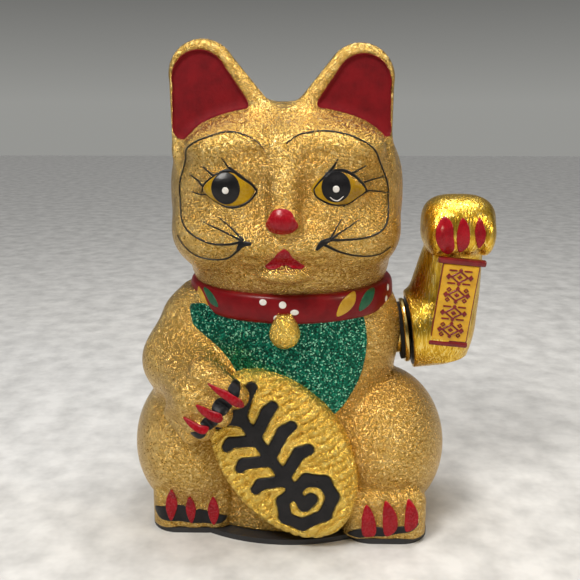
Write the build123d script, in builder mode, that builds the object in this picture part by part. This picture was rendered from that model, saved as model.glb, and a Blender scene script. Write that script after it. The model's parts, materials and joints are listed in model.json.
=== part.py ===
from build123d import *
import os
from math import cos, radians, sin

# Beckoning cat figurine, a hollow slip-cast ceramic cat with a battery-driven waving arm.
# Frame: +Z up, the cat faces -Y, and its raised left arm is on the +X side. The origin is the
# middle of the resting face, on the underside of the black base plate. All sizes in millimetres.
# The arm hangs on a pendulum inside the body. A coil on the base plate pushes the pendulum's
# magnet each time it passes, and two AA cells under a hinged door feed the coil.

os.makedirs("parts", exist_ok=True)

# ---------------------------------------------------------------- driving dimensions
WALL = 5.0  # ceramic wall
PLATE = 3.0  # base plate thickness, which is also how high the ceramic stands off the table
MID_Y = -4.0  # middle of the base plate and of the opening in the ceramic floor
FLOOR_TOP = PLATE + WALL
BASE_A, BASE_B = 72.0, 60.0  # half-axes of the base plate
OPENING_A, OPENING_B = 60.0, 48.0  # half-axes of the opening in the ceramic floor
RIM_GAP, RIM_WALL, RIM_HIGH = 0.7, 2.0, 4.0  # locating rim of the base plate in that opening

# Torso from the floor up: height, half-width, half-depth, middle in Y. The head is an egg.
TORSO_SECTIONS = [
    (PLATE, 74, 60, MID_Y),
    (55, 70, 58, -4),
    (95, 62, 51, -2),
    (130, 51, 44, -3),
    (155, 48, 39, -6),
]
HEAD_AT, HEAD_HALF = (0, -8, 178), (64, 53, 53)  # half-sizes in X, Y and Z

COLLAR_A, COLLAR_B = 58.0, 50.0
COLLAR_LOW, COLLAR_HIGH = 118.5, 133.0
BELL_AT, BELL_R = (-1, -51, 113), 7.5

HAUNCH_AT, HAUNCH_HALF = (52, -10, 38), (37.5, 45, 42)
FOOT_X, FOOT_WIDE, FOOT_CORNER, FOOT_TOP = 52.5, 45.5, 15.0, 30.0
FOOT_FRONTS, FOOT_BACK = {-1: -53.0, 1: -62.0}, -9.0  # the right foot (-X) is set further back
COIN_AT, COIN_HALF_LENGTH, COIN_HALF_WIDTH, COIN_THICK = (-4, -70, 49.5), 49.0, 29.5, 14.0
COIN_LEAN = 35.0  # degrees, the coin's top leans towards the right paw
COIN_RECLINE = 4.0  # degrees, the coin's top leans back against the belly
EAR_FRONT_Y, EAR_THICK, EAR_TAPER = -20.0, 24.0, 9.0
EAR_ROUNDS = [(42.5, 243.5, 16.5), (50, 204, 12.5), (26, 208, 12)]  # x, z, radius
TAIL_AT, TAIL_HALF = (6, 53, 30), (9, 9, 26)

# Shoulder: the arm's axle leaves the ceramic here, and rises a little outwards. Distances along
# the axle are measured from the shoulder, and negative ones are inside the body.
SHOULDER = Vector(62.5, 0, 100)
AXLE_TILT = 6.5
SHOULDER_HOLE_R, SHOULDER_SEAT_R = 13.0, 20.0
WASHER_THICK, WASHER_R = 1.7, 16.5
BEZEL_THICK, BEZEL_R, BEZEL_BORE_R, BEZEL_NECK_R, BEZEL_NECK = 3.0, 18.5, 8.0, 12.7, 5.0
ARM_GAP = 1.3  # running gap between the bezel and the arm
ARM_START = WASHER_THICK + BEZEL_THICK + ARM_GAP
ARM_R, ARM_WALL, ELBOW_AT = 22.0, 1.8, 22.0
ARM_SEAM_Y = 1.5  # the plane where the arm's front and back shells meet

# Raised arm above the elbow: height, half-width, half-depth, middle in Y, middle in X.
FOREARM_SECTIONS = [
    (105, 18.5, 18.5, 0, 87),
    (122, 19.5, 18, 0, 87),
    (140, 17.5, 16.5, -1.5, 88.5),
    (160, 15, 12, -10, 90.5),
]
PAW_AT, PAW_HALF = (91, -13, 163.5), (19.7, 20, 16.5)
PLUG_THICK, SHANK_R, SQUARE, SQUARE_END = 2.5, 6.0, 6.0, -23.5
PLAQUE_LOW, PLAQUE_HIGH = Vector(87, -21.5, 97), Vector(90, -27, 145)  # middle of each end
PLAQUE_WIDE, PLAQUE_THICK = 20.0, 2.2
TOP_RAIL, LOW_RAIL = (25.5, 5.0, 4.4), (21.5, 4.0, 3.6)  # width, height, thickness
PAD_WIDE, PAD_HIGH = 12.0, 32.0  # glue pad between the plaque and the arm

# Mechanism.
INNER_WALL_X, OUTER_WALL_X, UPRIGHT = 9.5, 42.0, 3.0
FRAME_LOW, FRAME_PLATE = 6.0, 3.0
FRAME_TOP, FRAME_FOOT_HALF, FRAME_TOP_HALF = 111.0, 15.0, 10.5
FRAME_END_X = (4.0, 50.0)
FRAME_SCREWS = [(16, -13.5), (39, -13.5), (16, 13.5), (39, 13.5)]
LEVER_X = 27.7
HUB_IN, HUB_OUT, HUB_R = -47.5, -23.0, 7.0
JOURNAL_R, JOURNAL_END = 6.0, -13.5
RUNNING = 0.06  # radial clearance in both bearings
SOCKET, SOCKET_DEEP = 6.2, 11.0
OUTER_BUSH, OUTER_BUSH_R = (-22.0, -15.5), 8.5
INNER_BUSH, INNER_BUSH_R = (-55.0, -50.0), 4.0
PIN, PIN_R = (-56.0, -36.0), 1.5
LEVER_THICK, LEVER_WIDE = 4.0, 9.0
MAGNET_R, MAGNET_THICK, MAGNET_LOW = 9.0, 5.0, 20.0
CUP_R, CUP_LOW, CUP_HIGH = 11.0, 22.5, 27.5
WEIGHT_X, WEIGHT_HIGH, WEIGHT_Z, WEIGHT_Y = 16.0, 14.0, 51.0, (-8.0, 14.0)
COIL_R, COIL_TOP, BOBBIN_CORE_R, WINDING_R, CORE_R = 13.0, 17.0, 4.5, 11.5, 3.0

# Battery box: a tub on the base plate that opens downwards, with the two cells side by side.
CELL_R, CELL_LONG, CELL_Z, CELL_PITCH = 7.1, 49.2, 10.6, 15.5
NUB_R, NUB_LONG = 2.7, 1.3
TUB_X, TUB_Y, TUB_WIDE, TUB_LONG, TUB_TOP, TUB_WALL = -27.0, MID_Y, 31.0, 58.0, 18.0, 1.6
CONTACT_THICK, CONTACT_WIDE, CONTACT_LOW, CONTACT_HIGH = 0.4, 9.0, 5.0, 15.0
SPRING_R, SPRING_WIRE_R, SPRING_TURNS = 4.0, 0.4, 4
DOOR_LOW, DOOR_THICK, DOOR_GAP = 0.5, 2.0, 0.5
HINGE_R, HINGE_INSET, HINGE_REACH, HINGE_PLAY = 1.0, 2.2, 0.9, 0.4

# Circuit board, slide switch, screws and clamp bars.
BOARD_AT, BOARD_SIZE, BOARD_LOW, BOARD_THICK = (20, 24.7), (32, 13), 7.5, 1.6
BOARD_TOP = BOARD_LOW + BOARD_THICK
BOARD_SCREWS = [(7, 24.7), (33.5, 24.7)]
SWITCH_AT, SWITCH_SIZE, SWITCH_TRAVEL = (20.5, 24.7), (12, 6.8), 2.5
STEM, STEM_HEAD, STEM_LOW, STEM_TOP = (4.0, 3.0), (5.4, 4.2), 0.5, 5.2
SWITCH_POCKET, POCKET_DEEP = (14, 8), 1.2
CLAMP_Y, CLAMP_SIZE, CLAMP_HIGH = 39.5, (80, 7), 6.0
CLAMP_SCREW_X = 22.0
WIRE_R, LEAD_R = 0.7, 0.45

# ---------------------------------------------------------------- shared shapes
axle_dir = Vector(cos(radians(AXLE_TILT)), 0, sin(radians(AXLE_TILT)))
axle = Plane(origin=SHOULDER, x_dir=(0, 1, 0), z_dir=axle_dir)  # local Z runs outwards


def axle_rod(radius, start, end):
    """A cylinder on the axle's line."""
    with BuildPart() as rod:
        with BuildSketch(axle.offset(start)):
            Circle(radius)
        extrude(amount=end - start)
    return rod.part


def egg(centre, half_sizes, long_dir=(0, 0, 1)):
    """An ellipsoid. Its third half-size lies along long_dir, which is upright unless given."""
    with BuildPart() as solid:
        Sphere(1)
        scale(by=tuple(float(half) for half in half_sizes))
    return Plane(origin=centre, z_dir=Vector(*long_dir)).location * solid.part


def stacked_ellipses(sections, inset=0.0):
    """A smooth loft through ellipses: height, half-width, half-depth, middle y and, if any, x."""
    with BuildPart() as stack:
        for height, half_width, half_depth, y, *x in sections:
            with BuildSketch(Plane((x[0] if x else 0, y, height))):
                Ellipse(half_width - inset, half_depth - inset)
        loft()
    return stack.part


def rounded_foot(side, low, high, inset=0.0):
    """One foot, or with an inset the hollow inside it."""
    foot_deep = FOOT_BACK - FOOT_FRONTS[side]
    with BuildPart() as foot:
        with BuildSketch(Plane((side * FOOT_X, (FOOT_BACK + FOOT_FRONTS[side]) / 2, low))):
            RectangleRounded(FOOT_WIDE - 2 * inset, foot_deep - 2 * inset, FOOT_CORNER - inset)
        extrude(amount=high - low)
    return foot.part


def screw(x, y, low, head_r, head_high, shank_r, shank_high, turned=False):
    """A pan-head screw with a cross slot. Its head is below, or above where it is turned."""
    with BuildPart() as fastener:
        with Locations((x, y, low)):
            Cylinder(shank_r, shank_high, align=(Align.CENTER, Align.CENTER, Align.MIN))
        head_low = low + shank_high if turned else low - head_high
        slot_z = head_low + head_high if turned else head_low
        with Locations((x, y, head_low)):
            Cylinder(head_r, head_high, align=(Align.CENTER, Align.CENTER, Align.MIN))
        with Locations((x, y, slot_z)):
            Box(head_r * 1.3, 0.5, 1.0, mode=Mode.SUBTRACT)
            Box(0.5, head_r * 1.3, 1.0, mode=Mode.SUBTRACT)
    return fastener.part


def tube(radius, bend, *points):
    """A wire along straight runs that are joined by tangent arcs."""
    with BuildPart() as wire:
        with BuildLine() as route:
            FilletPolyline(*points, radius=bend)
        with BuildSketch(Plane(origin=route.line @ 0, z_dir=route.line % 0)):
            Circle(radius)
        sweep()
    return wire.part


def save(part, name):
    """Labels a finished piece and writes its STEP file."""
    part.label = name
    export_step(part, f"parts/{name}.step")


# ---------------------------------------------------------------- ceramic body
torso = stacked_ellipses(TORSO_SECTIONS)
head = egg(HEAD_AT, HEAD_HALF)
haunches = [egg((side * HAUNCH_AT[0], *HAUNCH_AT[1:]), HAUNCH_HALF) for side in (-1, 1)]
feet = [rounded_foot(side, PLATE, FOOT_TOP) for side in (-1, 1)]
right_arm = [
    egg((-57, -13, 90), (26, 26, 34), (-0.1, 0.15, 1)),
    egg((-54, -46, 83), (19, 19, 30), (0.72, -0.62, -0.25)),
    egg((-39, -62, 79), (15, 15, 17), (0.6, -0.5, -0.3)),
]
tail = egg(TAIL_AT, TAIL_HALF, (0.25, 0, 1))
seat_boss = axle_rod(SHOULDER_SEAT_R, -22, 0)

cavity_sections = [(FLOOR_TOP, *TORSO_SECTIONS[0][1:])] + TORSO_SECTIONS[1:]
head_hollow = egg(HEAD_AT, [half - WALL for half in HEAD_HALF])
cavities = [stacked_ellipses(cavity_sections, WALL), head_hollow]
for side in (-1, 1):
    haunch_centre = (side * HAUNCH_AT[0], *HAUNCH_AT[1:])
    haunch_hollow = egg(haunch_centre, [half - WALL for half in HAUNCH_HALF])
    cavities.append(split(haunch_hollow, Plane.XY.offset(FLOOR_TOP), keep=Keep.TOP))
    cavities.append(rounded_foot(side, FLOOR_TOP, FOOT_TOP - WALL, WALL))
seat_clearance = axle_rod(SHOULDER_SEAT_R + 3, 0, 10)
shoulder_hole = axle_rod(SHOULDER_HOLE_R, -30, 10)

lean, recline = radians(COIN_LEAN), radians(COIN_RECLINE)
coin_long_dir = Vector(-sin(lean), 0, cos(lean))
coin_normal = Vector(0, -cos(recline), 0) + coin_long_dir * sin(recline)
coin_plane = Plane(origin=COIN_AT, x_dir=(cos(lean), 0, sin(lean)), z_dir=coin_normal)

with BuildPart() as body_shell:
    for piece in [torso, head, tail, seat_boss] + haunches + feet + right_arm:
        add(piece)
    # collar band and bell
    with BuildSketch(Plane((0, -3, COLLAR_LOW))):
        Ellipse(COLLAR_A, COLLAR_B)
    extrude(amount=COLLAR_HIGH - COLLAR_LOW)
    with Locations(BELL_AT):
        Sphere(BELL_R)
    # the oval coin that the right paw holds against the belly
    with BuildSketch(coin_plane):
        Ellipse(COIN_HALF_WIDTH, COIN_HALF_LENGTH)
    extrude(amount=-COIN_THICK)
    # ears: rounded triangles, flat in front
    for side in (-1, 1):
        with BuildSketch(Plane((0, EAR_FRONT_Y, 0), x_dir=(1, 0, 0), z_dir=(0, -1, 0))):
            for x, z, radius in EAR_ROUNDS:
                with Locations((side * x, z)):
                    Circle(radius)
            make_hull()
        extrude(amount=-EAR_THICK, taper=EAR_TAPER)
    # flat underside, hollow inside, floor opening, and the shoulder's flat seat and hole
    with Locations((0, 0, PLATE - 50)):
        Box(300, 300, 100, mode=Mode.SUBTRACT)
    for hollow in cavities + [seat_clearance, shoulder_hole]:
        add(hollow, mode=Mode.SUBTRACT)
    with BuildSketch(Plane((0, MID_Y, 0))):
        Ellipse(OPENING_A, OPENING_B)
    extrude(amount=FLOOR_TOP + 1, mode=Mode.SUBTRACT)
save(body_shell.part, "body_shell")

# ---------------------------------------------------------------- shoulder trim
with BuildPart() as shoulder_washer:
    with BuildSketch(axle):
        Circle(WASHER_R)
        Circle(SHOULDER_HOLE_R, mode=Mode.SUBTRACT)
    extrude(amount=WASHER_THICK)
save(shoulder_washer.part, "shoulder_washer")

with BuildPart() as shoulder_bezel:
    with BuildSketch(axle.offset(WASHER_THICK)):
        Circle(BEZEL_R)
    extrude(amount=BEZEL_THICK)
    fillet(shoulder_bezel.edges().filter_by(GeomType.CIRCLE), 1.2)
    add(axle_rod(BEZEL_NECK_R, -BEZEL_NECK, WASHER_THICK + 1))
    add(axle_rod(BEZEL_BORE_R, -10, 10), mode=Mode.SUBTRACT)
save(shoulder_bezel.part, "shoulder_bezel")

# ---------------------------------------------------------------- waving arm
def arm_solid(inset):
    """The arm's outer shape, or with an inset the hollow inside it, which runs out at the plug."""
    radius = ARM_R - inset
    start = ARM_START if inset == 0 else ARM_START - 3
    with BuildPart() as arm:
        # the elbow: a barrel on the axle's line that ends in a dome
        with BuildSketch(Plane(origin=SHOULDER, x_dir=axle_dir, z_dir=(0, -1, 0))):
            with BuildLine():
                Polyline((ELBOW_AT + radius, 0), (start, 0), (start, radius), (ELBOW_AT, radius))
                RadiusArc((ELBOW_AT, radius), (ELBOW_AT + radius, 0), radius)
            make_face()
        revolve(axis=Axis(SHOULDER, axle_dir))
        add(stacked_ellipses(FOREARM_SECTIONS, inset))
        add(egg(PAW_AT, [half - inset for half in PAW_HALF]))
    return arm.part


arm_outer = arm_solid(0)
arm_inner = arm_solid(ARM_WALL)
for name, side in (("arm_shell_front", -1), ("arm_shell_back", 1)):
    with BuildPart() as half_shell:
        add(arm_outer)
        add(arm_inner, mode=Mode.SUBTRACT)
        with Locations((0, ARM_SEAM_Y + side * 100, 100)):
            Box(300, 200, 300, mode=Mode.INTERSECT)
    save(half_shell.part, name)

with BuildPart() as arm_plug:
    add(axle_rod(ARM_R - ARM_WALL, ARM_START, ARM_START + PLUG_THICK))
    add(axle_rod(SHANK_R, JOURNAL_END, ARM_START + PLUG_THICK))
    with BuildSketch(axle.offset(SQUARE_END)):
        Rectangle(SQUARE, SQUARE)
    extrude(amount=JOURNAL_END - SQUARE_END)
save(arm_plug.part, "arm_plug")

plaque_up = (PLAQUE_HIGH - PLAQUE_LOW).normalized()
plaque_long = (PLAQUE_HIGH - PLAQUE_LOW).length
plaque_across = plaque_up.cross(Vector(0, 1, 0)).normalized() * -1
plaque_face = Plane(
    origin=(PLAQUE_LOW + PLAQUE_HIGH) * 0.5,
    x_dir=plaque_across,
    z_dir=plaque_across.cross(plaque_up),
)
with BuildPart() as arm_plaque:
    with BuildSketch(plaque_face):
        Rectangle(PLAQUE_WIDE, plaque_long)
    extrude(amount=-PLAQUE_THICK)
    for (width, height, thick), end in ((TOP_RAIL, 1), (LOW_RAIL, -1)):
        with BuildSketch(plaque_face.offset((thick - PLAQUE_THICK) / 2)):
            with Locations((0, end * (plaque_long - height) / 2)):
                RectangleRounded(width, height, height / 2 - 0.1)
        extrude(amount=-thick)
    with BuildSketch(plaque_face.offset(-PLAQUE_THICK)):
        RectangleRounded(PAD_WIDE, PAD_HIGH, 3)
    extrude(amount=-12)
    add(arm_outer, mode=Mode.SUBTRACT)
save(arm_plaque.part.solids().sort_by(Axis.Y)[0], "arm_plaque")

# ---------------------------------------------------------------- pendulum, below the axle
axle_z = SHOULDER.Z + (LEVER_X - SHOULDER.X) * axle_dir.Z / axle_dir.X
with BuildPart() as pendulum_lever:
    add(axle_rod(HUB_R, HUB_IN, HUB_OUT))
    add(axle_rod(JOURNAL_R, HUB_OUT, JOURNAL_END))
    with BuildSketch(Plane((LEVER_X, 0, CUP_HIGH - 1))):
        Rectangle(LEVER_THICK, LEVER_WIDE)
    extrude(amount=axle_z - CUP_HIGH + 1)
    with BuildSketch(Plane((LEVER_X, 0, CUP_LOW))):
        Circle(CUP_R)
    extrude(amount=CUP_HIGH - CUP_LOW)
    with BuildSketch(Plane((LEVER_X, 0, CUP_LOW))):
        Circle(MAGNET_R)
    extrude(amount=MAGNET_LOW + MAGNET_THICK - CUP_LOW, mode=Mode.SUBTRACT)
    with BuildSketch(axle.offset(JOURNAL_END)):
        Rectangle(SOCKET, SOCKET)
    extrude(amount=-SOCKET_DEEP, mode=Mode.SUBTRACT)
    add(axle_rod(PIN_R, PIN[0], PIN[1]), mode=Mode.SUBTRACT)
save(pendulum_lever.part, "pendulum_lever")

save(axle_rod(PIN_R, *PIN), "pivot_pin")

with BuildPart() as magnet:
    with BuildSketch(Plane((LEVER_X, 0, MAGNET_LOW))):
        Circle(MAGNET_R)
    extrude(amount=MAGNET_THICK)
save(magnet.part, "magnet")

weight_low = WEIGHT_Z - WEIGHT_HIGH / 2
with BuildPart() as counterweight:
    with BuildSketch(Plane((LEVER_X, sum(WEIGHT_Y) / 2, weight_low))):
        RectangleRounded(WEIGHT_X, WEIGHT_Y[1] - WEIGHT_Y[0], 2)
    extrude(amount=WEIGHT_HIGH)
    with BuildSketch(Plane((LEVER_X, 0, weight_low))):
        Rectangle(LEVER_THICK + 0.2, LEVER_WIDE + 0.2)
    extrude(amount=WEIGHT_HIGH, mode=Mode.SUBTRACT)
    with BuildSketch(Plane((LEVER_X + WEIGHT_X / 2, 0, WEIGHT_Z), z_dir=(-1, 0, 0))):
        Circle(1.5)
    extrude(amount=WEIGHT_X / 2 - LEVER_THICK / 2, mode=Mode.SUBTRACT)
save(counterweight.part, "counterweight")

with BuildPart() as counterweight_screw:
    with BuildSketch(Plane((LEVER_X + WEIGHT_X / 2, 0, WEIGHT_Z), z_dir=(-1, 0, 0))):
        Circle(1.5)
    extrude(amount=WEIGHT_X / 2 - LEVER_THICK / 2)
    with BuildSketch(Plane((LEVER_X + WEIGHT_X / 2, 0, WEIGHT_Z), z_dir=(1, 0, 0))):
        Circle(2.8)
    extrude(amount=1.6)
    with Locations((LEVER_X + WEIGHT_X / 2 + 1.6, 0, WEIGHT_Z)):
        Box(1.2, 4.2, 0.6, mode=Mode.SUBTRACT)
save(counterweight_screw.part, "counterweight_screw")

# ---------------------------------------------------------------- frame and bearings
bush_bore = [axle_rod(OUTER_BUSH_R, *OUTER_BUSH), axle_rod(INNER_BUSH_R, *INNER_BUSH)]
upright_low = FRAME_LOW + FRAME_PLATE
with BuildPart() as mechanism_frame:
    with BuildSketch(Plane.XY.offset(FRAME_LOW)):
        with Locations((sum(FRAME_END_X) / 2, 0)):
            RectangleRounded(FRAME_END_X[1] - FRAME_END_X[0], 34, 4)
        with Locations((LEVER_X, 0)):
            Circle(COIL_R + 1.5, mode=Mode.SUBTRACT)
        with Locations(*FRAME_SCREWS):
            Circle(1.5, mode=Mode.SUBTRACT)
    extrude(amount=FRAME_PLATE)
    for wall_x in (INNER_WALL_X, OUTER_WALL_X):
        with BuildSketch(Plane((wall_x, 0, 0), x_dir=(0, 1, 0), z_dir=(1, 0, 0))):
            with BuildLine():
                Polyline(
                    (-FRAME_FOOT_HALF, upright_low),
                    (FRAME_FOOT_HALF, upright_low),
                    (FRAME_TOP_HALF, FRAME_TOP),
                    (-FRAME_TOP_HALF, FRAME_TOP),
                    close=True,
                )
            make_face()
            # window that lightens the upright
            with Locations((0, 48)):
                RectangleRounded(12, 56, 5, mode=Mode.SUBTRACT)
        extrude(amount=UPRIGHT)
    with Locations(((INNER_WALL_X + OUTER_WALL_X + UPRIGHT) / 2, 0, FRAME_TOP - UPRIGHT / 2)):
        Box(OUTER_WALL_X - INNER_WALL_X, 2 * FRAME_TOP_HALF, UPRIGHT)
    for bore in bush_bore:
        add(bore, mode=Mode.SUBTRACT)
save(mechanism_frame.part, "mechanism_frame")

with BuildPart() as outer_bush:
    add(bush_bore[0])
    add(axle_rod(JOURNAL_R + RUNNING, -30, 0), mode=Mode.SUBTRACT)
save(outer_bush.part, "outer_bush")

with BuildPart() as inner_bush:
    add(bush_bore[1])
    add(axle_rod(PIN_R + RUNNING, -60, -45), mode=Mode.SUBTRACT)
save(inner_bush.part, "inner_bush")

for index, (x, y) in enumerate(FRAME_SCREWS, 1):
    low = PLATE + 0.5
    fastener = screw(x, y, low, 2.8, 1.6, 1.3, FRAME_LOW + FRAME_PLATE - low, turned=True)
    save(fastener, f"frame_screw_{index}")

# ---------------------------------------------------------------- drive coil
with BuildPart() as coil_bobbin:
    with BuildSketch(Plane((LEVER_X, 0, PLATE))):
        Circle(BOBBIN_CORE_R)
    extrude(amount=COIL_TOP - PLATE)
    for flange_low in (PLATE, COIL_TOP - 1):
        with BuildSketch(Plane((LEVER_X, 0, flange_low))):
            Circle(COIL_R)
        extrude(amount=1)
    with BuildSketch(Plane((LEVER_X, 0, PLATE))):
        Circle(CORE_R)
    extrude(amount=COIL_TOP - PLATE, mode=Mode.SUBTRACT)
save(coil_bobbin.part, "coil_bobbin")

with BuildPart() as coil_winding:
    with BuildSketch(Plane((LEVER_X, 0, PLATE + 1))):
        Circle(WINDING_R)
        Circle(BOBBIN_CORE_R, mode=Mode.SUBTRACT)
    extrude(amount=COIL_TOP - PLATE - 2)
save(coil_winding.part, "coil_winding")

with BuildPart() as coil_core:
    with BuildSketch(Plane((LEVER_X, 0, PLATE))):
        Circle(CORE_R)
    extrude(amount=COIL_TOP - PLATE)
save(coil_core.part, "coil_core")

# ---------------------------------------------------------------- base plate with battery tub
tub_front, tub_back = TUB_Y - TUB_LONG / 2, TUB_Y + TUB_LONG / 2
hinge_y, hinge_z = tub_front + HINGE_INSET, DOOR_LOW + DOOR_THICK / 2
clamp_screws = [
    (x, MID_Y + end * CLAMP_Y) for x in (-CLAMP_SCREW_X, CLAMP_SCREW_X) for end in (-1, 1)
]
with BuildPart() as base_plate:
    with BuildSketch(Plane((0, 0, 0))):
        with Locations((0, MID_Y)):
            Ellipse(BASE_A, BASE_B)
        for side, foot_front in FOOT_FRONTS.items():
            with Locations((side * FOOT_X, (FOOT_BACK + foot_front) / 2)):
                RectangleRounded(FOOT_WIDE, FOOT_BACK - foot_front, FOOT_CORNER)
    extrude(amount=PLATE)
    # locating rim in the ceramic's floor opening
    with BuildSketch(Plane((0, MID_Y, PLATE))):
        Ellipse(OPENING_A - RIM_GAP, OPENING_B - RIM_GAP)
        Ellipse(OPENING_A - RIM_GAP - RIM_WALL, OPENING_B - RIM_GAP - RIM_WALL, mode=Mode.SUBTRACT)
    extrude(amount=RIM_HIGH)
    # battery tub
    with BuildSketch(Plane((TUB_X, TUB_Y, 0))):
        Rectangle(TUB_WIDE + 2 * TUB_WALL, TUB_LONG + 2 * TUB_WALL)
    extrude(amount=TUB_TOP + TUB_WALL)
    with BuildSketch(Plane((TUB_X, TUB_Y, 0))):
        Rectangle(TUB_WIDE, TUB_LONG)
    extrude(amount=TUB_TOP, mode=Mode.SUBTRACT)
    # screw bosses
    for places, radius, top in (
        (FRAME_SCREWS, 3.3, FRAME_LOW),
        (BOARD_SCREWS, 2.4, BOARD_LOW),
        (clamp_screws, 4.0, FLOOR_TOP),
    ):
        with BuildSketch(Plane.XY.offset(PLATE)):
            with Locations(*places):
                Circle(radius)
        extrude(amount=top - PLATE)
    for places, radius, low, top in (
        (FRAME_SCREWS, 1.3, PLATE + 0.5, FRAME_LOW),
        (BOARD_SCREWS, 1.0, PLATE + 0.5, BOARD_LOW),
        (clamp_screws, 1.6, 0, FLOOR_TOP),
        (clamp_screws, 3.6, 0, PLATE),
    ):
        with BuildSketch(Plane.XY.offset(low)):
            with Locations(*places):
                Circle(radius)
        extrude(amount=top - low, mode=Mode.SUBTRACT)
    # switch slot and the finger pocket under it
    with BuildSketch(Plane((*SWITCH_AT, 0))):
        RectangleRounded(*SWITCH_POCKET, 2)
    extrude(amount=POCKET_DEEP, mode=Mode.SUBTRACT)
    with BuildSketch(Plane((*SWITCH_AT, 0))):
        Rectangle(STEM[0] + SWITCH_TRAVEL + 0.8, STEM[1] + 0.8)
    extrude(amount=PLATE, mode=Mode.SUBTRACT)
    # hinge notches for the door's pins, and a finger notch at the door's free end
    with BuildSketch(Plane((TUB_X, hinge_y, 0))):
        Rectangle(TUB_WIDE + 2 * HINGE_REACH, 2 * (HINGE_R + HINGE_PLAY))
    extrude(amount=hinge_z + HINGE_R + 0.3, mode=Mode.SUBTRACT)
    with Locations((TUB_X, tub_back, 0)):
        Cylinder(6, 2.4, mode=Mode.SUBTRACT)
    # slots for the two solder tabs
    for cell in (-1, 1):
        with Locations((TUB_X + cell * CELL_PITCH / 2, tub_back + TUB_WALL / 2, CELL_Z)):
            Box(3.4, TUB_WALL + 0.2, CONTACT_THICK + 0.2, mode=Mode.SUBTRACT)
save(base_plate.part, "base_plate")

door_front, door_back = tub_front + DOOR_GAP, tub_back - DOOR_GAP
with BuildPart() as battery_door:
    with BuildSketch(Plane((TUB_X, (door_front + door_back) / 2, DOOR_LOW))):
        Rectangle(TUB_WIDE - 2 * DOOR_GAP, door_back - door_front)
    extrude(amount=DOOR_THICK)
    pin_half = TUB_WIDE / 2 + HINGE_REACH - HINGE_PLAY
    with BuildSketch(Plane((TUB_X - pin_half, hinge_y, hinge_z), z_dir=(1, 0, 0))):
        Circle(HINGE_R)
    extrude(amount=2 * pin_half)
    # grip ribs on the underside, and the snap tab at the free end
    for rib in range(4):
        with Locations((TUB_X, door_back - 6 - 2.4 * rib, DOOR_LOW)):
            Box(14, 1, 0.6)
    with Locations((TUB_X, door_back - 0.8, DOOR_LOW + DOOR_THICK + 0.3)):
        Box(8, 1.2, 0.8)
save(battery_door.part, "battery_door")

for side, name in ((-1, "clamp_bar_front"), (1, "clamp_bar_back")):
    bar_y = MID_Y + side * CLAMP_Y
    with BuildPart() as clamp_bar:
        with BuildSketch(Plane((0, bar_y, FLOOR_TOP))):
            RectangleRounded(*CLAMP_SIZE, 2)
            with Locations((-CLAMP_SCREW_X, 0), (CLAMP_SCREW_X, 0)):
                Circle(1.3, mode=Mode.SUBTRACT)
        extrude(amount=CLAMP_HIGH)
    save(clamp_bar.part, name)

for index, (x, y) in enumerate(clamp_screws, 1):
    save(screw(x, y, PLATE, 3.2, 1.9, 1.3, 10), f"base_screw_{index}")

# ---------------------------------------------------------------- cells and contacts
cell_xs = [TUB_X - CELL_PITCH / 2, TUB_X + CELL_PITCH / 2]
contact_inner = [tub_back - CONTACT_THICK, tub_front + CONTACT_THICK]  # faces the nubs press on
nub_dirs = [1, -1]  # the first cell points to the back, the second to the front
for index, (x, y, nub_dir) in enumerate(zip(cell_xs, contact_inner, nub_dirs), 1):
    can_top = y - nub_dir * NUB_LONG
    with BuildPart() as battery_cell:
        with BuildSketch(Plane((x, can_top, CELL_Z), z_dir=(0, -nub_dir, 0))):
            Circle(CELL_R)
        extrude(amount=CELL_LONG)
        fillet(battery_cell.edges().filter_by(GeomType.CIRCLE), 0.6)
        with BuildSketch(Plane((x, can_top, CELL_Z), z_dir=(0, nub_dir, 0))):
            Circle(NUB_R)
        extrude(amount=NUB_LONG)
    save(battery_cell.part, f"battery_cell_{index}")

    # coil spring between the cell's flat end and the wall it faces
    can_end = can_top - nub_dir * CELL_LONG
    wall_face = (tub_front if nub_dir == 1 else tub_back) + nub_dir * CONTACT_THICK
    spring_gap = abs(can_end - wall_face) - 2 * SPRING_WIRE_R
    with BuildPart() as cell_spring:
        with BuildLine() as coil_line:
            Helix(
                spring_gap / SPRING_TURNS,
                spring_gap,
                SPRING_R,
                center=(x, wall_face + nub_dir * SPRING_WIRE_R, CELL_Z),
                direction=(0, nub_dir, 0),
            )
        with BuildSketch(Plane(origin=coil_line.line @ 0, z_dir=coil_line.line % 0)):
            Circle(SPRING_WIRE_R)
        sweep(is_frenet=True)
    save(cell_spring.part, f"cell_spring_{index}")


def contact_strip(x_low, x_high, wall_y, into):
    """A flat contact plate that stands against one end wall of the tub."""
    with BuildPart() as strip:
        with Locations(((x_low + x_high) / 2, wall_y + into * CONTACT_THICK / 2, 0)):
            with Locations((0, 0, (CONTACT_LOW + CONTACT_HIGH) / 2)):
                Box(x_high - x_low, CONTACT_THICK, CONTACT_HIGH - CONTACT_LOW)
    return strip.part


half_contact = CONTACT_WIDE / 2
bridge = contact_strip(cell_xs[0] - half_contact, cell_xs[1] + half_contact, tub_front, 1)
save(bridge, "contact_bridge")
for x, name in zip(cell_xs, ("contact_positive", "contact_negative")):
    with BuildPart() as contact:
        add(contact_strip(x - half_contact, x + half_contact, tub_back, -1))
        with Locations((x, tub_back + TUB_WALL, CELL_Z)):
            Box(3, 2 * TUB_WALL + CONTACT_THICK, CONTACT_THICK)
    save(contact.part, name)

# ---------------------------------------------------------------- circuit board and switch
with BuildPart() as circuit_board:
    with BuildSketch(Plane((*BOARD_AT, BOARD_LOW))):
        Rectangle(*BOARD_SIZE)
    extrude(amount=BOARD_THICK)
    with BuildSketch(Plane.XY.offset(BOARD_LOW)):
        with Locations(*BOARD_SCREWS):
            Circle(1.1)
    extrude(amount=BOARD_THICK, mode=Mode.SUBTRACT)
save(circuit_board.part, "circuit_board")

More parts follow.
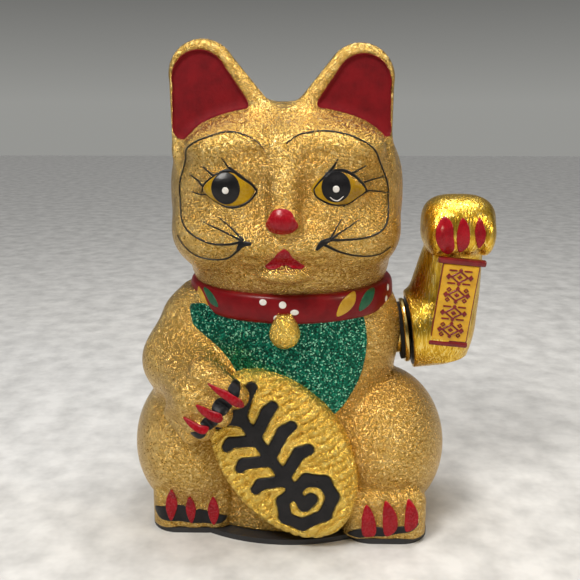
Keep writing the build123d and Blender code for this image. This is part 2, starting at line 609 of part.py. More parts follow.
for index, (x, y) in enumerate(BOARD_SCREWS, 1):
    low = PLATE + 0.5
    save(screw(x, y, low, 2.0, 1.2, 1.0, BOARD_TOP - low, turned=True), f"board_screw_{index}")

with BuildPart() as transistor:
    with BuildSketch(Plane((20.5, 28, BOARD_TOP))):
        Circle(2.3)
        with Locations((0, 2.6)):
            Rectangle(5, 2, mode=Mode.SUBTRACT)
    extrude(amount=4.6)
save(transistor.part, "transistor")

with BuildPart() as capacitor:
    with BuildSketch(Plane((13.5, 27, BOARD_TOP))):
        Circle(3.2)
    extrude(amount=8)
    fillet(capacitor.edges().group_by(Axis.Z)[-1], 0.5)
save(capacitor.part, "capacitor")

for index, y in enumerate((22.2, 25.8), 1):
    with BuildPart() as resistor:
        with BuildSketch(Plane((25, y, BOARD_TOP + 1.1), z_dir=(1, 0, 0))):
            Circle(1.1)
        extrude(amount=5)
    save(resistor.part, f"resistor_{index}")

with BuildPart() as switch_body:
    with BuildSketch(Plane((*SWITCH_AT, PLATE))):
        Rectangle(*SWITCH_SIZE)
    extrude(amount=BOARD_LOW - PLATE)
    with BuildSketch(Plane((*SWITCH_AT, PLATE))):
        Rectangle(STEM_HEAD[0] + SWITCH_TRAVEL + 1.0, STEM_HEAD[1] + 0.8)
    extrude(amount=STEM_TOP + 0.5 - PLATE, mode=Mode.SUBTRACT)
save(switch_body.part, "switch_body")

stem_x = SWITCH_AT[0] - SWITCH_TRAVEL / 2
with BuildPart() as switch_slider:
    with BuildSketch(Plane((stem_x, SWITCH_AT[1], STEM_LOW))):
        Rectangle(*STEM)
    extrude(amount=STEM_TOP - STEM_LOW)
    with BuildSketch(Plane((stem_x, SWITCH_AT[1], PLATE + 0.4))):
        Rectangle(*STEM_HEAD)
    extrude(amount=STEM_TOP - PLATE - 0.4)
    for rib in (-1, 0, 1):
        with Locations((stem_x + 1.2 * rib, SWITCH_AT[1], STEM_LOW)):
            Box(0.5, STEM[1], 0.5, mode=Mode.SUBTRACT)
save(switch_slider.part, "switch_slider")

# ---------------------------------------------------------------- wires, each held at both ends
tab_end_y = tub_back + TUB_WALL + 1.0
tab_low = CELL_Z - CONTACT_THICK / 2
run_z, board_x = 5.4, 10.0
red_y, black_y = 30.6, 28.9
battery_wires = {
    "battery_wire_red": [
        (cell_xs[0], tab_end_y, tab_low),
        (cell_xs[0], tab_end_y, run_z),
        (cell_xs[0] + 6, red_y, run_z),
        (board_x, red_y, run_z),
        (board_x, red_y, BOARD_LOW),
    ],
    "battery_wire_black": [
        (cell_xs[1], tab_end_y, tab_low),
        (cell_xs[1], tab_end_y, run_z),
        (cell_xs[1] + 6, black_y, run_z),
        (board_x, black_y, run_z),
        (board_x, black_y, BOARD_LOW),
    ],
}
for name, points in battery_wires.items():
    save(tube(WIRE_R, 1.4, *points), name)

lead_z, lead_end_y, lead_half = 4.8, 19.6, 2.7
lead_start_y = (WINDING_R**2 - (lead_half - LEAD_R) ** 2) ** 0.5
for index, side in enumerate((-1, 1), 1):
    x = LEVER_X + side * lead_half
    lead = tube(
        LEAD_R,
        1.0,
        (x, lead_start_y, lead_z),
        (x, lead_end_y, lead_z),
        (x, lead_end_y, BOARD_LOW),
    )
    save(lead, f"coil_lead_{index}")
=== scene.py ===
import json
import math

import bpy
import numpy as np
import openvdb
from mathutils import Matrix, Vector
from mathutils.bvhtree import BVHTree


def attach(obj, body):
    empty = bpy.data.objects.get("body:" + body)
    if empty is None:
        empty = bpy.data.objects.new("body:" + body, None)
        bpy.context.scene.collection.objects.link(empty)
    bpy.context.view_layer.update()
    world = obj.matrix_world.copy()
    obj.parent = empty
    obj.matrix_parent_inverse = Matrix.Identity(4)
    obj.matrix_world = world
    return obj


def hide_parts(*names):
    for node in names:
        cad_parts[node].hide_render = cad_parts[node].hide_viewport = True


# Beckoning cat figurine: the looks. Outlines and shapes are in millimetres, in the CAD frame:
# the cat faces -Y, its raised left arm is on the +X side, and +Z is up. Meshes are in metres.

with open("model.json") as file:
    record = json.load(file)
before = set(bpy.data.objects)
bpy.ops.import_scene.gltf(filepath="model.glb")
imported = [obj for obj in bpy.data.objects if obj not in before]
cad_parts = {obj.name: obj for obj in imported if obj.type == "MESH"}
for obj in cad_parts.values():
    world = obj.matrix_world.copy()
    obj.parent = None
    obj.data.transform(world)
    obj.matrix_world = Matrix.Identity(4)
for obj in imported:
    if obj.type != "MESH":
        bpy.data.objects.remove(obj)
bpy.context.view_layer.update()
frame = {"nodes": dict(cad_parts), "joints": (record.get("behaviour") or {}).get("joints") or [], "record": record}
MM = 0.001

# ------------------------------------------------------------------ distance fields


def smooth_min(a, b, blend):
    """The union of two distances, with a fillet of about that size in millimetres."""
    if blend <= 0:
        return np.minimum(a, b)
    near = np.maximum(blend - np.abs(a - b), 0) / blend
    return np.minimum(a, b) - near * near * blend * 0.25


def smooth_max(a, b, blend):
    return -smooth_min(-a, -b, blend)


class Field:
    """A signed distance in millimetres on a regular grid, negative inside."""

    def __init__(self, low, high, step):
        self.low, self.step = np.array(low, float), step
        self.count = [int(math.ceil((h - l) / step)) + 1 for l, h in zip(low, high)]
        self.d = np.full(self.count, 60.0, np.float32)

    def axis(self, k):
        return (self.low[k] + self.step * np.arange(self.count[k])).astype(np.float32)

    def grid(self):
        """The three axes, shaped so that they broadcast to the whole grid."""
        x, y, z = (self.axis(k) for k in range(3))
        return x[:, None, None], y[None, :, None], z[None, None, :]

    def window(self, low, high):
        """Slices of the grid that hold a box, and the coordinates there."""
        parts = []
        for k in range(3):
            start = max(0, int((low[k] - self.low[k]) / self.step))
            stop = min(self.count[k], int((high[k] - self.low[k]) / self.step) + 2)
            parts.append(slice(start, max(stop, start)))
        x, y, z = (self.axis(k)[parts[k]] for k in range(3))
        return tuple(parts), x[:, None, None], y[None, :, None], z[None, None, :]

    def add(self, shape, blend=0.0):
        where, x, y, z = self.window(shape.low - blend - 3, shape.high + blend + 3)
        self.d[where] = smooth_min(self.d[where], shape(x, y, z), blend)

    def cut(self, shape, blend=0.0):
        where, x, y, z = self.window(shape.low - blend - 3, shape.high + blend + 3)
        self.d[where] = smooth_max(self.d[where], -shape(x, y, z), blend)

    def resampled(self, low, high, step):
        """The same distance on a finer grid over a smaller box."""
        fine = Field(low, high, step)
        values = self.d
        for k in range(3):
            at = np.clip((fine.axis(k) - self.low[k]) / self.step, 0, self.count[k] - 1.001)
            cell = at.astype(int)
            share = (at - cell).astype(np.float32)
            shape = [1, 1, 1]
            shape[k] = -1
            share = share.reshape(shape)
            values = np.take(values, cell, k) * (1 - share) + np.take(values, cell + 1, k) * share
        fine.d = values
        return fine

    def mesh(self, name):
        """A smooth closed mesh of the zero surface, in metres."""
        grid = openvdb.FloatGrid(background=3.0 * self.step)
        limit = 3.0 * self.step
        grid.copyFromArray(np.clip(self.d, -limit, limit), tolerance=0.0)
        points, quads = grid.convertToQuads()
        points = (points * self.step + self.low) * MM
        mesh = bpy.data.meshes.new(name)
        mesh.vertices.add(len(points))
        mesh.vertices.foreach_set("co", points.astype(np.float32).ravel())
        mesh.loops.add(4 * len(quads))
        mesh.loops.foreach_set("vertex_index", quads[:, ::-1].astype(np.int32).ravel())
        mesh.polygons.add(len(quads))
        mesh.polygons.foreach_set("loop_start", np.arange(0, 4 * len(quads), 4, dtype=np.int32))
        mesh.polygons.foreach_set("use_smooth", np.ones(len(quads), bool))
        mesh.update(calc_edges=True)
        return mesh


class Shape:
    """A distance function with the box it fills."""

    def __init__(self, distance, low, high):
        self.distance = distance
        self.low, self.high = np.array(low, float), np.array(high, float)

    def __call__(self, x, y, z):
        return self.distance(x, y, z).astype(np.float32)


def ellipsoid(centre, radii, along=(0, 0, 1)):
    """radii are across, across and along, where along is the direction of the third one."""
    third = Vector(along).normalized()
    second = third.cross(Vector((1, 0, 0))).normalized()
    axes = [second.cross(third), second, third]

    def distance(x, y, z):
        x, y, z = x - centre[0], y - centre[1], z - centre[2]
        local = [a[0] * x + a[1] * y + a[2] * z for a in axes]
        near = np.sqrt(sum((p / r) ** 2 for p, r in zip(local, radii)))
        slope = np.sqrt(sum((p / r**2) ** 2 for p, r in zip(local, radii)))
        return near * (near - 1) / np.maximum(slope, 1e-6)

    reach = max(radii)
    return Shape(distance, np.array(centre) - reach, np.array(centre) + reach)


def cone(start, end, start_r, end_r):
    """A rounded rod whose radius changes from one end to the other."""
    a, b = np.array(start, float), np.array(end, float)
    line = b - a

    def distance(x, y, z):
        t = ((x - a[0]) * line[0] + (y - a[1]) * line[1] + (z - a[2]) * line[2]) / (line @ line)
        t = np.clip(t, 0, 1)
        gap = np.sqrt(
            (x - a[0] - t * line[0]) ** 2
            + (y - a[1] - t * line[1]) ** 2
            + (z - a[2] - t * line[2]) ** 2
        )
        return gap - (start_r + (end_r - start_r) * t)

    reach = max(start_r, end_r)
    return Shape(distance, np.minimum(a, b) - reach, np.maximum(a, b) + reach)


def disc(centre, normal, radius, low, high, rounding=0.0):
    """A flat cylinder along normal, between two distances from its centre."""
    n = Vector(normal).normalized()
    mid, half = (low + high) / 2, (high - low) / 2

    def distance(x, y, z):
        x, y, z = x - centre[0], y - centre[1], z - centre[2]
        s = n[0] * x + n[1] * y + n[2] * z
        out = np.sqrt(np.maximum(x * x + y * y + z * z - s * s, 0)) - radius
        return smooth_max(out, np.abs(s - mid) - half, rounding)

    reach = radius + max(abs(low), abs(high))
    return Shape(distance, np.array(centre) - reach, np.array(centre) + reach)


def stack(sections):
    """Ellipses up the Z axis, eased from one to the next: height, half-width, half-depth, x, y."""
    table = np.array(sections, float)
    heights = np.linspace(table[0, 0], table[-1, 0], 200)
    eased = [ease(table[:, 0], table[:, k], heights) for k in range(1, 5)]

    def distance(x, y, z):
        a, b, cx, cy = (np.interp(z, heights, values) for values in eased)
        px, py = x - cx, y - cy
        near = np.sqrt((px / a) ** 2 + (py / b) ** 2)
        slope = np.sqrt((px / a**2) ** 2 + (py / b**2) ** 2)
        side = near * (near - 1) / np.maximum(slope, 1e-6)
        cap = np.maximum(table[0, 0] - z, z - table[-1, 0])
        return np.maximum(side, cap)

    reach_x = (table[:, 1] + np.abs(table[:, 3])).max()
    reach_y = (table[:, 2] + np.abs(table[:, 4])).max()
    low = (-reach_x, -reach_y, table[0, 0])
    high = (reach_x, reach_y, table[-1, 0])
    return Shape(distance, low, high)


def ease(knots, values, at):
    """Smooth interpolation through the knots (Catmull-Rom), for profiles and strokes."""
    slopes = np.gradient(values, knots)
    i = np.clip(np.searchsorted(knots, at, side="right") - 1, 0, len(knots) - 2)
    width = knots[i + 1] - knots[i]
    t = (at - knots[i]) / width
    h00, h10 = 2 * t**3 - 3 * t**2 + 1, t**3 - 2 * t**2 + t
    h01, h11 = -2 * t**3 + 3 * t**2, t**3 - t**2
    return (
        h00 * values[i]
        + h10 * width * slopes[i]
        + h01 * values[i + 1]
        + h11 * width * slopes[i + 1]
    )


def smooth_line(points, count, closed=False):
    """Points along a smooth line through the given ones, evenly spread between them."""
    p = np.array(points, float)
    if closed:
        p = np.vstack([p[-2:], p, p[:3]])
    steps = np.concatenate([[0], np.cumsum(np.linalg.norm(np.diff(p, axis=0), axis=1) + 1e-6)])
    first, last = (steps[2], steps[-3]) if closed else (0, steps[-1])
    at = np.linspace(first, last, count, endpoint=not closed)
    return np.stack([ease(steps, p[:, k], at) for k in range(p.shape[1])], axis=1)


def outline_distance(outline, u, v):
    """Signed distance to a closed outline in a plane."""
    total = np.full(np.broadcast(u, v).shape, 1e9)
    inside = np.zeros(total.shape, bool)
    for (ax, ay), (bx, by) in zip(outline, np.roll(outline, -1, axis=0)):
        ex, ey = bx - ax, by - ay
        t = np.clip(((u - ax) * ex + (v - ay) * ey) / max(ex * ex + ey * ey, 1e-12), 0, 1)
        total = np.minimum(total, (u - ax - t * ex) ** 2 + (v - ay - t * ey) ** 2)
        crosses = (ay > v) != (by > v)
        with np.errstate(divide="ignore", invalid="ignore"):
            left = u < ax + (v - ay) * ex / np.where(ey == 0, 1e-12, ey)
        inside ^= crosses & left
    return (np.sqrt(total) * np.where(inside, -1, 1)).astype(np.float32)


# ------------------------------------------------------------------ pieces


def piece(name, mesh, material, body="cat", replaces=()):
    obj = bpy.data.objects.new(name, mesh)
    bpy.context.scene.collection.objects.link(obj)
    mesh.materials.clear()
    mesh.materials.append(material)
    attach(obj, body)
    if replaces:
        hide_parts(*replaces)
    return obj


# ------------------------------------------------------------------ materials


class Nodes:
    """Short calls for building one material's node tree."""

    def __init__(self, name):
        self.material = bpy.data.materials.new(name)
        self.material.use_nodes = True
        self.tree = self.material.node_tree
        self.shader = self.tree.nodes["Principled BSDF"]
        self.place = self.node("ShaderNodeTexCoord").outputs["Object"]

    def node(self, kind, **settings):
        made = self.tree.nodes.new(kind)
        for key, value in settings.items():
            setattr(made, key, value)
        return made

    def feed(self, socket, value):
        if isinstance(value, bpy.types.NodeSocket):
            self.tree.links.new(value, socket)
        else:
            socket.default_value = value

    def noise(self, scale, detail=2.0, rough=0.5, warp=0.0):
        made = self.node("ShaderNodeTexNoise")
        self.feed(made.inputs["Vector"], self.place)
        for key, value in (("Scale", scale), ("Detail", detail), ("Roughness", rough)):
            made.inputs[key].default_value = value
        made.inputs["Distortion"].default_value = warp
        return made.outputs["Fac"]

    def ramp(self, value, *stops):
        made = self.node("ShaderNodeValToRGB")
        self.feed(made.inputs["Fac"], value)
        band = made.color_ramp
        while len(band.elements) < len(stops):
            band.elements.new(0.5)
        for element, (at, colour) in zip(band.elements, stops):
            element.position = at
            element.color = (*colour, 1)
        return made.outputs["Color"]

    def remap(self, value, low, high):
        made = self.node("ShaderNodeMapRange")
        self.feed(made.inputs["Value"], value)
        made.inputs["To Min"].default_value = low
        made.inputs["To Max"].default_value = high
        return made.outputs["Result"]

    def maths(self, operation, a, b):
        made = self.node("ShaderNodeMath", operation=operation)
        self.feed(made.inputs[0], a)
        self.feed(made.inputs[1], b)
        return made.outputs[0]

    def bump(self, height, distance, strength=1.0):
        made = self.node("ShaderNodeBump")
        self.feed(made.inputs["Height"], height)
        made.inputs["Distance"].default_value = distance
        made.inputs["Strength"].default_value = strength
        return made.outputs["Normal"]

    def finish(self, **inputs):
        for key, value in inputs.items():
            if key == "Base_Color" and not isinstance(value, bpy.types.NodeSocket):
                value = (*value, 1)
            self.feed(self.shader.inputs[key.replace("_", " ")], value)
        return self.material


def crackled_gold(name, deep, mid, pale):
    """Frosted gold paint that has shrunk into fine wrinkles about a millimetre apart."""
    n = Nodes(name)
    wrinkle = n.noise(700, 4.0, 0.62, 0.9)
    broad = n.noise(60, 3.0, 0.55)
    # The wrinkle noise sets the bump and most of the colour: the valleys are painted darker as painted shade and
    # the crests paler as painted highlight; the broad noise adds tone that differs at random.
    tone = n.maths("ADD", n.maths("MULTIPLY", wrinkle, 0.9), n.maths("MULTIPLY", broad, 0.12))
    colour = n.ramp(tone, (0.32, deep), (0.5, mid), (0.72, pale))
    normal = n.bump(wrinkle, 0.0014, 0.9)
    return n.finish(
        Base_Color=colour, Metallic=1.0, Roughness=n.remap(wrinkle, 0.34, 0.17), Normal=normal
    )


def gloss_paint(name, colour, dark, rough=0.25, coat=0.5):
    """Brushed-on enamel: slightly uneven in tone, with brush ripples and the crackle showing through."""
    n = Nodes(name)
    uneven = n.noise(140, 3.0, 0.6)
    fine = n.noise(700, 2.0, 0.5, 0.4)
    shade = n.ramp(uneven, (0.3, dark), (0.62, colour))
    return n.finish(
        Base_Color=shade,
        Roughness=n.remap(fine, rough - 0.08, rough + 0.12),
        Specular_IOR_Level=0.2,
        Coat_Weight=coat,
        Coat_Roughness=0.12,
        Normal=n.bump(fine, 0.00012, 0.8),
    )


def glitter():
    """Emerald glitter in clear glue: flakes that each tilt their own way, with a few painted near white as painted
    glints.
    """
    n = Nodes("green_glitter")
    flake = n.node("ShaderNodeTexVoronoi")
    n.feed(flake.inputs["Vector"], n.place)
    flake.inputs["Scale"].default_value = 1500
    tone = n.node("ShaderNodeSeparateColor")
    n.feed(tone.inputs["Color"], flake.outputs["Color"])
    colour = n.ramp(
        tone.outputs["Red"],
        (0.1, (0.0, 0.035, 0.022)),
        (0.6, (0.0, 0.13, 0.075)),
        (0.85, (0.01, 0.3, 0.18)),
        # painted glints: the rarest flakes are painted near white
        (0.98, (0.4, 0.85, 0.6)),
    )
    rough = n.remap(tone.outputs["Green"], 0.18, 0.6)
    normal = n.bump(tone.outputs["Blue"], 0.0005, 0.9)
    return n.finish(Base_Color=colour, Metallic=0.7, Roughness=rough, Normal=normal)


def bright_gold():
    """Vacuum-plated plastic with fine upright wrinkles from the mould's fur lines."""
    n = Nodes("arm_gold")
    stretch = n.node("ShaderNodeMapping")
    n.feed(stretch.inputs["Vector"], n.place)
    stretch.inputs["Scale"].default_value = (900, 900, 120)
    fur = n.node("ShaderNodeTexNoise")
    n.feed(fur.inputs["Vector"], stretch.outputs["Vector"])
    fur.inputs["Scale"].default_value = 1.0
    fur.inputs["Detail"].default_value = 3.0
    fur.inputs["Distortion"].default_value = 0.6
    height = fur.outputs["Fac"]
    # The fur height sets both the bump and the colour: the grooves are painted dark brown as painted shade and the
    # crests pale as painted highlight.
    colour = n.ramp(height, (0.3, (0.4, 0.2, 0.01)), (0.52, (0.8, 0.5, 0.05)), (0.75, (1.0, 0.8, 0.28)))
    return n.finish(
        Base_Color=colour,
        Metallic=0.95,
        Roughness=n.remap(height, 0.36, 0.2),
        Normal=n.bump(height, 0.0007, 0.6),
    )


def plain(name, colour, metallic=0.0, rough=0.4, grain=900, depth=0.00006):
    """A moulded or machined finish with a little grain."""
    n = Nodes(name)
    fine = n.noise(grain, 2.0, 0.5)
    dark = tuple(0.72 * c for c in colour)
    return n.finish(
        Base_Color=n.ramp(n.noise(45, 3.0, 0.6), (0.3, dark), (0.65, colour)),
        Metallic=metallic,
        Roughness=n.remap(fine, rough - 0.1, rough + 0.12),
        Normal=n.bump(fine, depth, 0.7),
    )


GOLD = crackled_gold("crackled_gold", (0.26, 0.125, 0.016), (0.62, 0.385, 0.09), (0.95, 0.74, 0.34))
ARM_GOLD = bright_gold()
COIN_GOLD = crackled_gold("coin_gold", (0.4, 0.22, 0.015), (0.86, 0.58, 0.1), (1.0, 0.85, 0.32))
RED = gloss_paint("red_enamel", (0.36, 0.006, 0.014), (0.22, 0.003, 0.008), coat=0.12)
EAR_RED = gloss_paint("ear_red", (0.19, 0.003, 0.007), (0.13, 0.002, 0.005), rough=0.7, coat=0.0)
COLLAR_RED = gloss_paint("collar_red", (0.2, 0.003, 0.006), (0.13, 0.002, 0.004), rough=0.35, coat=0.08)
BLACK = gloss_paint("black_enamel", (0.012, 0.011, 0.012), (0.005, 0.005, 0.006), rough=0.3, coat=0.1)
SCLERA = gloss_paint("eye_yellow", (0.44, 0.26, 0.008), (0.3, 0.16, 0.005), coat=0.2)
WHITE = gloss_paint("white_enamel", (0.85, 0.83, 0.8), (0.65, 0.62, 0.58))
BIB = glitter()

# ------------------------------------------------------------------ camera, light and floor
CAMERA_BACK, CAMERA_HIGH = 0.432, 0.228
CAMERA_PITCH = math.radians(13.6)  # below level
CAMERA_TURN = math.radians(1.3)  # to the cat's left
LENS = 48.2

camera_data = bpy.data.cameras.new("camera")
camera_data.lens, camera_data.sensor_width = LENS, 36.0
camera_data.clip_start = 0.01
camera = bpy.data.objects.new("camera", camera_data)
camera.location = (CAMERA_BACK * math.sin(CAMERA_TURN), -CAMERA_BACK * math.cos(CAMERA_TURN), CAMERA_HIGH)
camera.rotation_euler = (math.radians(90) - CAMERA_PITCH, 0, CAMERA_TURN)
bpy.context.scene.collection.objects.link(camera)
bpy.context.scene.camera = camera


def area_light(name, at, towards, size, power, colour=(1, 1, 1)):
    data = bpy.data.lights.new(name, "AREA")
    data.shape, data.size, data.energy, data.color = "DISK", size, power, colour
    light = bpy.data.objects.new(name, data)
    light.location = at
    light.rotation_euler = (Vector(towards) - Vector(at)).to_track_quat("-Z", "Y").to_euler()
    bpy.context.scene.collection.objects.link(light)


area_light("key", (-0.3, -0.42, 0.75), (0, 0, 0.13), 0.24, 4.6, (1.0, 0.97, 0.92))
area_light("top", (0.12, 0.05, 0.9), (0, 0, 0.1), 0.3, 3.2)
area_light("fill", (0.6, -0.45, 0.4), (0, 0, 0.12), 0.14, 1.5, (1.0, 0.84, 0.6))
world = bpy.data.worlds.new("studio")
world.use_nodes = True
sky = world.node_tree
heading = sky.nodes.new("ShaderNodeTexCoord")
split = sky.nodes.new("ShaderNodeSeparateXYZ")
shade = sky.nodes.new("ShaderNodeValToRGB")
sky.links.new(heading.outputs["Generated"], split.inputs["Vector"])
sky.links.new(split.outputs["Z"], shade.inputs["Fac"])
sky.links.new(shade.outputs["Color"], sky.nodes["Background"].inputs["Color"])
for at, grey in ((0.0, 0.34), (0.2, 0.33), (0.5, 0.12), (1.0, 0.08)):
    stop = shade.color_ramp.elements.new(at) if 0 < at < 1 else shade.color_ramp.elements[int(at)]
    stop.color = (grey, grey, 0.95 * grey, 1)
sky.nodes["Background"].inputs["Strength"].default_value = 0.9
bpy.context.scene.world = world
bpy.context.scene.view_settings.view_transform = "Standard"

floor_mesh = bpy.data.meshes.new("floor")
floor_mesh.from_pydata([(-3, -3, 0), (3, -3, 0), (3, 3, 0), (-3, 3, 0)], [], [(0, 1, 2, 3)])
floor = bpy.data.objects.new("floor", floor_mesh)
bpy.context.scene.collection.objects.link(floor)
floor_mesh.materials.append(plain("pale_floor", (0.72, 0.71, 0.69), rough=0.55, grain=60, depth=0.0001))

# ------------------------------------------------------------------ the ceramic cat
WALL = 5.0
FLOOR_Z = 3.0  # the ceramic stands on the base plate
HEAD_X = -1.5  # the head leans a little towards the coin
FACE_Y = -8.0
TORSO = [
    (FLOOR_Z, 66, 54, 0, -3),
    (25, 62, 51, 0, -3),
    (55, 61, 51, 0, -2),
    (90, 59, 50, 0, -2),
    (112, 57, 48, 0, -2),
    (130, 54, 45, 0, -4),
    (150, 50, 42, 0, -6),
]
NECK = [(118, 50, 42, 0, -5), (130, 51, 44, 0, -5), (138, 54, 47, 0, -5), (160, 56, 49, 0, -8)]
FEET = ((-51.5, -53.0), (51.5, -62.0))  # middle across, and the front of each
SHOULDER = Vector((62.5, 0, 100))
AXLE = Vector(frame["joints"][0]["axis"])
SHOULDER_HOLE_R, ARM_CLEARANCE_R = 13.0, 23.5
OPENING_A, OPENING_B, OPENING_Y = 60, 48, -4  # the floor's opening: half-axes and middle
NECK_Z = 124.0  # the head piece starts here, behind the collar
EAR_FACE_Y, EAR_DEEP = -29.0, 26.0
EAR_OUTSIDE = ((41, 242, 18), (46.5, 206, 12), (10, 212, 13))  # across from the middle, height, radius
EAR_INSIDE = ((42.5, 240, 13.8), (48.5, 217, 8.5), (12.5, 206, 8))
EAR_SHIFT = {-1: (-1.0, -0.5), 1: (-3.5, -2.5)}  # the left ear sits a little lower and closer in
FINGERS = (
    ((-42, -62.1, 95), (-25, -70.1, 86), 8.5, 6.5),
    ((-49, -60.1, 85), (-33, -70.1, 76), 8.0, 6.2),
    ((-55, -56.1, 76), (-42, -69.1, 68), 7.5, 6.0),
    ((-59, -52.1, 70), (-49, -65.1, 63), 6.0, 5.0),
)


def box_shape(low, high, rounding):
    low, high = np.array(low, float), np.array(high, float)
    mid, half = (low + high) / 2, (high - low) / 2 - rounding

    def distance(x, y, z):
        q = [np.abs(v - m) - h for v, m, h in zip((x, y, z), mid, half)]
        outside = np.sqrt(sum(np.maximum(k, 0) ** 2 for k in q))
        return outside + np.minimum(np.maximum(np.maximum(q[0], q[1]), q[2]), 0) - rounding

    return Shape(distance, low, high)


def full_ellipsoid(centre, radii, squareness, depth_power):
    """An ellipsoid whose front outline is squarer, as a kneaded lump's is."""

    def distance(x, y, z):
        front = np.abs((x - centre[0]) / radii[0]) ** squareness
        front = front + np.abs((z - centre[2]) / radii[2]) ** squareness
        depth = np.abs((y - centre[1]) / radii[1]) ** depth_power
        reach = (front ** (depth_power / squareness) + depth) ** (1 / depth_power)
        slopes = np.gradient(reach, *(np.ravel(v) for v in (x, y, z)))
        steep = np.sqrt(sum(s**2 for s in slopes))
        return (reach - 1) / np.maximum(steep, 0.4 / max(radii))

    return Shape(distance, np.array(centre) - radii, np.array(centre) + radii)


def slab(circles, side, front, back, taper=0.0, rounding=3.0):
    """The outline round some circles, given depth; it narrows towards the back by taper."""
    over, up = EAR_SHIFT[side]
    spots = [(HEAD_X + side * across + over, height + up, radius) for across, height, radius in circles]

    def distance(x, y, z):
        flat = None
        for (ax, az, ar), (bx, bz, br) in zip(spots, spots[1:] + spots[:1]):
            length = (bx - ax) ** 2 + (bz - az) ** 2
            t = np.clip(((x - ax) * (bx - ax) + (z - az) * (bz - az)) / length, 0, 1)
            gap = np.sqrt((x - ax - t * (bx - ax)) ** 2 + (z - az - t * (bz - az)) ** 2)
            gap = gap - ar - (br - ar) * t
            flat = gap if flat is None else np.minimum(flat, gap)
        corners = np.array([s[:2] for s in spots])
        flat = np.minimum(flat, outline_distance(corners, x, z))
        flat = flat + taper * (y - front)
        return smooth_max(flat, np.maximum(front - y, y - back), rounding)

    low = (min(s[0] - s[2] for s in spots), front, min(s[1] - s[2] for s in spots))
    high = (max(s[0] + s[2] for s in spots), back, max(s[1] + s[2] for s in spots))
    return Shape(distance, low, high)


def belly_shape(field):
    field.add(stack(TORSO))
    field.add(ellipsoid((-46, -8, 108), (20, 26, 22)), 14)
    field.add(ellipsoid((45, -6, 106), (16, 26, 20)), 14)


def limbs_shape(field):
    field.add(cone((8, 52.5, 12), (2, 54.5, 52), 9, 6.5), 8)  # the tail lies against the back
    for side, (across, front) in zip((-1, 1), FEET):
        field.add(ellipsoid((side * 51.5, -14.5, 40), (36.0, 45.5, 42)), 1.2)
        field.add(box_shape((across - 22.5, front, -10), (across + 22.5, -8, 30), 9), 0.8)
        for toe in (-13, 0, 13):
            field.add(ellipsoid((across + toe, front + 10, 12), (7.5, 11.2, 17)), 3)
    # the right arm lies along the belly, and its fingers hold the coin
    field.add(cone((-53, -10, 106), (-59, -24, 90), 20, 20), 8)
    field.add(cone((-59, -24, 90), (-44, -56, 81), 20, 17), 8)
    for start, end, thick, thin in FINGERS:
        field.add(cone(start, end, thick, thin), 2.5)


def head_shape(field):
    for side in (-1, 1):
        field.add(slab(EAR_OUTSIDE, side, EAR_FACE_Y, EAR_FACE_Y + EAR_DEEP, 0.1, 5))
        field.cut(slab(EAR_INSIDE, side, EAR_FACE_Y - 6, EAR_FACE_Y + 2.2, 0.0, 0.5), 1.2)
    field.add(full_ellipsoid((HEAD_X, FACE_Y, 181), (62.5, 51, 47.5), 2.5, 2.1), 6)
    field.add(ellipsoid((HEAD_X, -18, 158), (56, 38, 25)), 8)
    field.add(stack(NECK), 4)
    for side in (-1, 1):
        field.add(ellipsoid((HEAD_X + side * 34, -28, 162), (25, 27, 20)), 8)
        field.add(ellipsoid((HEAD_X + side * 25, -42, 207), (24, 13, 9)), 12)
        field.cut(ellipsoid((HEAD_X + side * 27, -67, 189), (20, 10, 11)), 10)
        field.add(ellipsoid((HEAD_X + side * 27, -47, 188), (15, 9.5, 9.5)), 2.5)
        field.add(ellipsoid((HEAD_X + side * 12, -52, 160), (15, 11.5, 10)), 7)
    field.add(cone((HEAD_X, -50, 205), (HEAD_X, -58, 178), 9, 6), 10)
    field.add(ellipsoid((HEAD_X, -61, 173), (8.5, 7, 6.5)), 3)
    for side in (-1, 1):
        field.cut(ellipsoid((HEAD_X + side * 13, -63, 185), (4.5, 7, 13)), 6)
        field.cut(ellipsoid((HEAD_X + side * 18, -61, 203), (9, 6, 3)), 5)
        field.cut(cone((HEAD_X + side * 10, -63, 150.5), (HEAD_X + side * 20, -57, 153.5), 1.6, 0.8), 2.5)
    field.add(ellipsoid((HEAD_X, -53.5, 145), (14.5, 9, 5.5)), 1.5)
    field.cut(cone((HEAD_X - 12, -62.5, 151.5), (HEAD_X + 12, -62.5, 151.5), 1.6, 1.6), 2.5)


def floor_line(field, height):
    """Cuts a field off level, below a height."""
    field.d = np.maximum(field.d, height - field.axis(2)[None, None, :])


def copied(field):
    twin = Field(field.low, field.low, field.step)
    twin.count, twin.d = field.count, field.d.copy()
    return twin


def hollowed(field):
    """The casting: a wall all round, the floor's opening and the shoulder's hole."""
    x, y, z = field.grid()
    inner = smooth_max(field.d + WALL, FLOOR_Z + WALL - z, 2)
    field.d = np.maximum(field.d, -inner)
    opening = (np.sqrt((x / OPENING_A) ** 2 + ((y - OPENING_Y) / OPENING_B) ** 2) - 1) * OPENING_B
    field.d = np.maximum(field.d, -np.maximum(opening, z - FLOOR_Z - WALL - 3))
    field.cut(disc(SHOULDER, AXLE, SHOULDER_HOLE_R, -35, 10))


cat_outer = Field((-94, -84, -2), (94, 68, 264), 1.1)
belly_shape(cat_outer)
belly_field = cat_outer.resampled((-60, -60, 55), (50, -15, 128), 1.1)
limbs_shape(cat_outer)
floor_line(cat_outer, FLOOR_Z)
head_only = Field((-70, -80, 120), (66, 62, 264), 1.0)
head_shape(head_only)

low_cut = cat_outer.resampled(cat_outer.low, (94, 68, 128), 1.1)
low_cut.cut(disc(SHOULDER, AXLE, ARM_CLEARANCE_R, 0.0, 12))
outer_body = copied(low_cut)
hollowed(low_cut)
piece("cat_body", low_cut.mesh("cat_body"), GOLD, replaces=["body_shell"])

